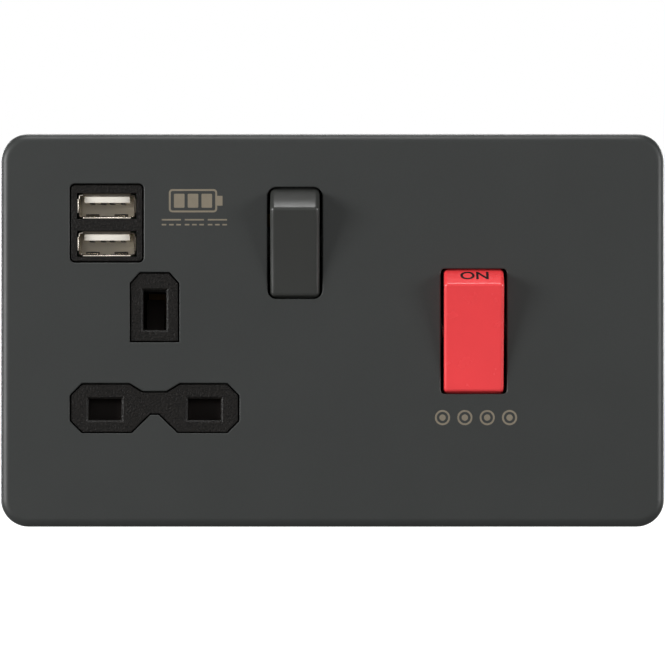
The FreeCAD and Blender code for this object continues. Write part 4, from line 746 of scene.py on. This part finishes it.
@dataclass
class Housings:
    """The black mouldings, the clip frame and the steel grid."""

    edge: float = 0.12 * MM
    front_edge: float = 0.22 * MM
    fronts: tuple = ("socket_front", "usb_bezel", "cooker_front")
    rears: tuple = ("clip_frame", "socket_base", "usb_case", "cooker_base")

    def build(self) -> None:
        """Dresses each moulding and the grid."""
        for node in self.fronts:
            Dressing(node, BLACK, Slot.BLACK, edge=self.front_edge).build()
        for node in self.rears:
            Dressing(node, REAR_BLACK, Slot.BLACK, edge=self.edge).build()
        Dressing("shutter", SHUTTER_BLACK, Slot.BLACK, Body.SHUTTER).build()
        Dressing("mounting_grid", ZINC, Slot.STEEL).build()


@dataclass
class Rockers:
    """The two rockers, with the word on the red one."""

    edge: float = 0.1 * MM
    word_text: str = "ON"
    word_x: float = 31.7 * MM
    word_z: float = 12.25 * MM
    word_w: float = 6.3 * MM
    word_h: float = 1.7 * MM
    word_t: float = 0.03 * MM
    word_lift: float = 0.25
    word_ahead: float = 1.0 * MM
    word_slimness: float = 110.0
    word_rows: int = 8

    def build(self) -> None:
        """Dresses both rockers and letters the red one."""
        Dressing("socket_rocker", GREY, Slot.GREY, Body.SOCKET_SWITCH, edge=self.edge).build()
        red = Dressing("cooker_rocker", RED, Slot.RED, Body.COOKER_SWITCH, edge=self.edge).build()
        self.word(red)

    def word(self, rocker: bpy.types.Object) -> None:
        """Prints the word on the rocker's top end wall.

        The word is laid out upright in front of the rocker and pressed back onto the curved wall,
        so that it reads from the front.

        Args:
            rocker: The rocker that carries it.
        """
        bpy.ops.object.select_all(action="DESELECT")
        bpy.ops.object.text_add(rotation=UPRIGHT)
        word = bpy.context.active_object
        word.data.body = self.word_text
        word.data.size = self.word_w / len(self.word_text)
        word.data.offset = self.word_w / self.word_slimness
        bpy.ops.object.convert(target="MESH")
        freeze()
        points = [v.co for v in word.data.vertices]
        low = Vector([min(p[i] for p in points) for i in range(3)])
        high = Vector([max(p[i] for p in points) for i in range(3)])
        word.scale = (self.word_w / (high.x - low.x), 1, self.word_h / (high.z - low.z))
        middle = (low + high) / 2
        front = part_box("cooker_rocker")[0].y - self.word_ahead
        word.location = (
            self.word_x - middle.x * word.scale.x, front, self.word_z - middle.z * word.scale.z)
        freeze()
        for row in range(1, self.word_rows):
            height = self.word_z + (row / self.word_rows - 0.5) * self.word_h
            edit(("bisect", {"plane_co": (0, 0, height), "plane_no": (0, 0, 1)}))
        apply(word, "SHRINKWRAP", target=rocker, wrap_method="PROJECT",
              use_project_y=True, use_positive_direction=True, use_negative_direction=False,
              wrap_mode="ABOVE_SURFACE", offset=self.word_t * self.word_lift)
        apply(word, "SOLIDIFY", thickness=self.word_t, offset=0)
        settle(word, "on_word", BLACK_PRINT)
        install(word, Body.COOKER_SWITCH, Slot.BLACK)


@dataclass
class Metalwork:
    """Contacts, terminals and screws."""

    edge: float = 0.05 * MM
    thread_pitch: float = 0.8 * MM
    thread_h: float = 0.3 * MM
    thread_sides: int = 4
    thread_steps: int = 18
    core_merge: float = 0.01 * MM
    wall_near: float = 0.05 * MM
    strip_t: float = 0.6 * MM

    def build(self) -> None:
        """Gives each metal piece its finish."""
        for body, members in frame["record"]["behaviour"]["bodies"].items():
            for node in members:
                words = node.split("_")
                if node.startswith("fixing_screw"):
                    self.threaded(Dressing(node, SCREW_STEEL, Slot.SCREW, edge=self.edge))
                elif "screw" in words or "screws" in words:
                    Dressing(node, SCREW_STEEL, Slot.SCREW, Body(body), edge=self.edge).build()
                elif "terminal" in words:
                    Dressing(node, BRASS, Slot.BRASS, Body(body), edge=self.edge).build()
                elif "contact" in words or "seesaw" in words:
                    Dressing(node, BRONZE, Slot.BRASS, Body(body), edge=self.edge).build()
        self.gussets()

    def gussets(self) -> None:
        """Models the stamped corners where the earth contact's web narrows to its tail."""
        low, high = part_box("earth_contact")
        points = [v.co for v in frame["nodes"]["earth_contact"].data.vertices]
        foot = min(p.z for p in points if p.y < high.y - 2 * self.strip_t)
        middle = (low.x + high.x) / 2
        tail = [p for p in points if p.z < low.z + self.strip_t]
        inner, outer = max(p.x for p in tail) - middle, high.x - middle
        size = outer - inner
        pieces = []
        for side in (-1, 1):
            place = Vector((
                middle + side * (inner + outer) / 2, high.y - self.strip_t / 2, foot - size / 2))
            corner = block(place, Vector((size, self.strip_t, size)))
            edit(("bisect", {
                "plane_co": (middle + side * outer, high.y, foot), "plane_no": (side, 0, -1),
                "clear_outer": True, "use_fill": True}))
            pieces.append(corner)
        piece = unite(*pieces)
        settle(piece, "earth_gussets", BRONZE)
        install(piece, Body.UNIT, Slot.BRASS)

    def threaded(self, dressing: Dressing) -> None:
        """Dresses a fixing screw with a thread cut into its shank.

        Args:
            dressing: The screw's node and finish.
        """
        screw = dressing.copy()
        low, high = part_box(dressing.node)
        x, z = (low.x + high.x) / 2, (low.z + high.z) / 2
        rim = [v for v in screw.data.vertices if v.co.y > high.y - self.wall_near]
        radius = max(math.hypot(v.co.x - x, v.co.z - z) for v in rim)
        wall = [v for v in screw.data.vertices
                if abs(math.hypot(v.co.x - x, v.co.z - z) - radius) < self.wall_near]
        begin = min(v.co.y for v in wall)
        core = 1 - self.thread_h / radius
        for vertex in wall:
            vertex.co.x = x + (vertex.co.x - x) * core
            vertex.co.z = z + (vertex.co.z - z) * core
        edit(("remove_doubles", {"threshold": self.core_merge}))
        start = Vector((x, begin + self.thread_pitch / 2, z))
        end = Vector((x, high.y - self.thread_pitch, z))
        turns = (end - start).length / self.thread_pitch
        thread = Winding(
            start, end, radius - self.thread_h, self.thread_h, turns, sides=self.thread_sides,
            steps=self.thread_steps).wind()
        dressing.edge = 0
        dressing.dress(unite(screw, thread))


@dataclass
class Ports:
    """The two USB ports and the charger behind them."""

    tip_shift: float = 3.2 * MM
    tip_w: float = 3.1 * MM
    tip_h: float = 0.42 * MM
    tip_d: float = 0.3 * MM
    tip_rise: float = 0.75 * MM
    tip_in: float = 0.85 * MM
    tip_round: float = 0.3
    tongue_near: float = 0.3 * MM
    edge: float = 0.04 * MM
    corner: float = 0.12 * MM
    round_steps: int = 3
    rim_d: float = 1.5 * MM
    rim_slope: float = 0.3
    rim_w: float = 0.6 * MM
    lip_in: float = 0.95 * MM
    side_foot: float = 1.5 * MM
    side_head: float = 0.3 * MM

    def build(self) -> None:
        """Gives each piece of the charger its finish."""
        for level in ("upper", "lower"):
            shell = Dressing("usb_shell_" + level, NICKEL, Slot.PORT, edge=self.edge).build()
            self.paint_rim_shade(shell)
            self.tongue(level)
            Dressing("usb_pins_" + level, PIN_METAL, Slot.BRASS, edge=self.edge).build()
            self.finger_tips(level)
        Dressing("usb_board", FIBREGLASS, Slot.BOARD).build()
        Dressing("usb_transformer", TAPE, Slot.FERRITE).build()
        Dressing("usb_capacitors", SLEEVE, Slot.CAN).build()

    def paint_rim_shade(self, shell: bpy.types.Object) -> None:
        """Paints shade onto a shell's front rim with a darker metal, but not on its bottom lip and
        left side, which keep the bright nickel as the lit parts of the rim.

        Args:
            shell: The dressed shell.
        """
        points = [v.co for v in shell.data.vertices]
        front = min(p.y for p in points)
        foot, top = min(p.z for p in points), max(p.z for p in points)
        left, right = min(p.x for p in points), max(p.x for p in points)
        shell.data.materials.append(RIM_SHADE_METAL.material())
        for face in shell.data.polygons:
            middle = face.center
            at_lip = (middle.z < foot + self.rim_w
                      and left + self.lip_in < middle.x < right - self.lip_in)
            at_side = (middle.x < left + self.rim_w
                       and foot + self.side_foot < middle.z < top - self.side_head)
            at_front = middle.y < front + self.rim_d and face.normal.y < -self.rim_slope
            # Front rim faces away from the lit lip and left side get the painted shade.
            if at_front and not (at_lip or at_side):
                face.material_index = 1

    def rounded(self, low: Vector, high: Vector) -> bpy.types.Object:
        """Makes a block with rounded edges between two corners.

        Args:
            low: Its lowest corner.
            high: Its highest corner.

        Returns:
            The block, as the active object.
        """
        piece = block((low + high) / 2, high - low)
        apply(piece, "BEVEL", width=self.corner, segments=self.round_steps)
        return piece

    def tongue(self, level: str) -> None:
        """Models a port's tongue with the holder behind it.

        Args:
            level: Name of the port.
        """
        node = "usb_tongue_" + level
        low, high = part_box(node)
        points = [v.co for v in frame["nodes"][node].data.vertices]
        bar = [p for p in points if p.y < low.y + self.tongue_near]
        bar_end = high.y - self.tongue_near
        holder_y = min(p.y for p in points if p.z < low.z + self.tongue_near)
        bar_low = Vector((min(p.x for p in bar), low.y, min(p.z for p in bar)))
        bar_high = Vector((max(p.x for p in bar), bar_end, max(p.z for p in bar)))
        holder = self.rounded(Vector((low.x, holder_y, low.z)), high)
        tongue = unite(self.rounded(bar_low, bar_high), holder)
        settle(tongue, node + "_moulded", TONGUE)
        install(tongue, Body.UNIT, Slot.WHITE, node)

    def finger_tips(self, level: str) -> None:
        """Adds the rolled tips of a port's two spring fingers, coloured near black as painted
        shade.

        Args:
            level: Name of the port.
        """
        low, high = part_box("usb_shell_" + level)
        middle = (low.x + high.x) / 2
        size = Vector((self.tip_w, self.tip_d, self.tip_h))
        tips = []
        for side in (-1, 1):
            place = (middle + side * self.tip_shift, low.y + self.tip_in, low.z + self.tip_rise)
            tip = block(Vector(place), size)
            apply(tip, "BEVEL", width=self.tip_h * self.tip_round, segments=self.round_steps)
            tips.append(tip)
        piece = unite(*tips)
        settle(piece, "finger_tips_" + level, TIP_SHADE_METAL)
        install(piece, Body.UNIT, Slot.PORT)


@dataclass
class SpringGear:
    """Plungers and coil springs."""

    shutter_wire: float = 0.2 * MM
    shutter_turns: float = 8.5
    plunger_turns: float = 3.5
    wire_share: float = 0.17
    shutter_keep: float = 0.435

    def build(self) -> None:
        """Gives the plungers their finish and winds the springs."""
        for body, members in frame["record"]["behaviour"]["bodies"].items():
            for node in members:
                if "plunger_spring" in node:
                    self.plunger_spring(node, Body(body))
                elif "plunger" in node:
                    Dressing(node, WHITE, Slot.WHITE, Body(body)).build()
        self.shutter_spring()

    def plunger_spring(self, node: str, body: Body) -> None:
        """Winds the spring behind a plunger, along the plunger's own line.

        Args:
            node: The spring's node.
            body: The rocker that carries it.
        """
        low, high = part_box(node)
        middle = (low + high) / 2
        ahead = frame["nodes"][node.replace("_spring", "")].data.vertices
        line = sum((v.co for v in ahead), Vector()) / len(ahead) - middle
        line.x = 0
        line.normalize()
        outer = (high.x - low.x) / 2
        wire_r = outer * self.wire_share
        tilt = math.atan2(abs(line.z), abs(line.y))
        length = ((high.y - low.y) - 2 * outer * math.sin(tilt)) / math.cos(tilt)
        half = line * (length / 2 - wire_r)
        coil = Winding(middle - half, middle + half, outer - wire_r, wire_r,
                       self.plunger_turns).wind()
        settle(coil, node + "_coil", SPRING_STEEL)
        install(coil, body, Slot.STEEL, node)

    def shutter_spring(self) -> None:
        """Winds the spring under the shutter, which shortens as the shutter drops."""
        low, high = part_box("shutter_spring")
        middle = (low + high) / 2
        start = Vector((middle.x, middle.y, low.z + self.shutter_wire))
        end = Vector((middle.x, middle.y, high.z - self.shutter_wire))
        radius = (high.x - low.x) / 2 - self.shutter_wire
        coil = Winding(start, end, radius, self.shutter_wire, self.shutter_turns).wind()
        settle(coil, "shutter_coil", SPRING_STEEL)
        install(coil, Body.UNIT, Slot.STEEL, "shutter_spring")
        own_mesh(coil)


@dataclass(frozen=True)
class Softbox:
    """A square light that faces the unit."""

    name: str
    place: tuple
    size: float
    watts: float

    def hang(self) -> None:
        """Hangs the light."""
        data = bpy.data.lights.new(self.name, "AREA")
        data.shape = "SQUARE"
        data.size = self.size
        data.energy = self.watts
        lamp = bpy.data.objects.new(self.name, data)
        bpy.context.scene.collection.objects.link(lamp)
        lamp.location = self.place
        lamp.rotation_euler = (-Vector(self.place)).to_track_quat("-Z", "Y").to_euler()


@dataclass
class Studio:
    """Camera, floor and lights."""

    image_w: int = 665
    image_h: int = 662
    px_per_mm: float = 4.471
    centre_row: float = 330.4
    distance: float = 1.1
    sensor: float = 36.0
    nearest: float = 0.1
    farthest: float = 20.0
    floor_size: float = 8.0
    floor_drop: float = 30 * MM
    floor_grey: float = 0.2
    floor_rough: float = 0.9
    floor_glow: float = 0.9
    behind: float = 1.0
    around: float = 0.2
    lights: tuple = (
        Softbox("left_softbox", place=(-1.0, -0.52, 0.1), size=0.4, watts=13.5),
        Softbox("top_softbox", place=(-0.05, -0.32, 1.05), size=0.35, watts=5.0),
        Softbox("right_softbox", place=(0.95, -0.52, 0.1), size=0.35, watts=6.3),
        Softbox("front_softbox", place=(-0.05, -1.3, 0.02), size=1.0, watts=1.8),
        Softbox("back_left_softbox", place=(-0.75, 1.0, 0.22), size=0.5, watts=14.0),
        Softbox("back_right_softbox", place=(0.8, 1.0, 0.22), size=0.5, watts=12.0),
        Softbox("back_top_softbox", place=(0.0, 0.9, 0.75), size=0.5, watts=6.0))

    def build(self) -> None:
        """Sets up the whole studio."""
        self.camera()
        self.floor()
        self.world()
        for light in self.lights:
            light.hang()

    def camera(self) -> None:
        """Looks straight at the plate."""
        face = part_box("front_plate")[0].y
        data = bpy.data.cameras.new("camera")
        cam = bpy.data.objects.new("camera", data)
        bpy.context.scene.collection.objects.link(cam)
        field_w = self.image_w / self.px_per_mm * MM
        data.sensor_width = self.sensor
        data.lens = self.sensor * self.distance / field_w
        data.clip_start = self.nearest
        data.clip_end = self.farthest
        rise = (self.centre_row - self.image_h / 2) / self.px_per_mm * MM
        cam.location = (0, face - self.distance, rise)
        cam.rotation_euler = UPRIGHT
        bpy.context.scene.camera = cam

    def floor(self) -> None:
        """Lays the pale floor below the unit, with a glow that keeps it nearly white."""
        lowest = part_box("front_plate")[0].z
        bpy.ops.object.select_all(action="DESELECT")
        bpy.ops.mesh.primitive_plane_add(
            size=self.floor_size, location=(0, 0, lowest - self.floor_drop))
        floor = bpy.context.active_object
        floor.name = "floor"
        pen = NodePen("floor_paper")
        grey = self.floor_grey
        pen.shader.inputs["Base Color"].default_value = (grey, grey, grey, 1)
        pen.shader.inputs["Roughness"].default_value = self.floor_rough
        pen.shader.inputs["Emission Color"].default_value = WHITE_LIGHT
        seen = pen.add("ShaderNodeLightPath").outputs["Is Camera Ray"]
        glow = pen.add("ShaderNodeMath", operation="MULTIPLY")
        glow.inputs[1].default_value = self.floor_glow
        pen.join(seen, glow.inputs[0])
        pen.join(glow.outputs["Value"], pen.shader.inputs["Emission Strength"])
        floor.data.materials.append(pen.material)

    def world(self) -> None:
        """White behind the unit, and a softer light from all sides."""
        world = bpy.data.worlds.new("studio")
        world.use_nodes = True
        bpy.context.scene.world = world
        nodes, links = world.node_tree.nodes, world.node_tree.links
        seen = nodes.new("ShaderNodeBackground")
        seen.inputs["Color"].default_value = WHITE_LIGHT
        seen.inputs["Strength"].default_value = self.behind
        around = nodes["Background"]
        around.inputs["Color"].default_value = WHITE_LIGHT
        around.inputs["Strength"].default_value = self.around
        path, mix = nodes.new("ShaderNodeLightPath"), nodes.new("ShaderNodeMixShader")
        links.new(path.outputs["Is Camera Ray"], mix.inputs["Fac"])
        links.new(around.outputs["Background"], mix.inputs[1])
        links.new(seen.outputs["Background"], mix.inputs[2])
        links.new(mix.outputs["Shader"], nodes["World Output"].inputs["Surface"])
        bpy.context.scene.view_settings.view_transform = "Standard"


def main() -> None:
    """Builds the classes in order."""
    logging.basicConfig(level=logging.INFO, format="%(message)s")
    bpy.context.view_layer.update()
    for part in (Plate(), Housings(), Rockers(), Metalwork(), Ports(), SpringGear(), Studio()):
        part.build()
        LOG.info("%s built", type(part).__name__)


if __name__ == "__main__":
    main()
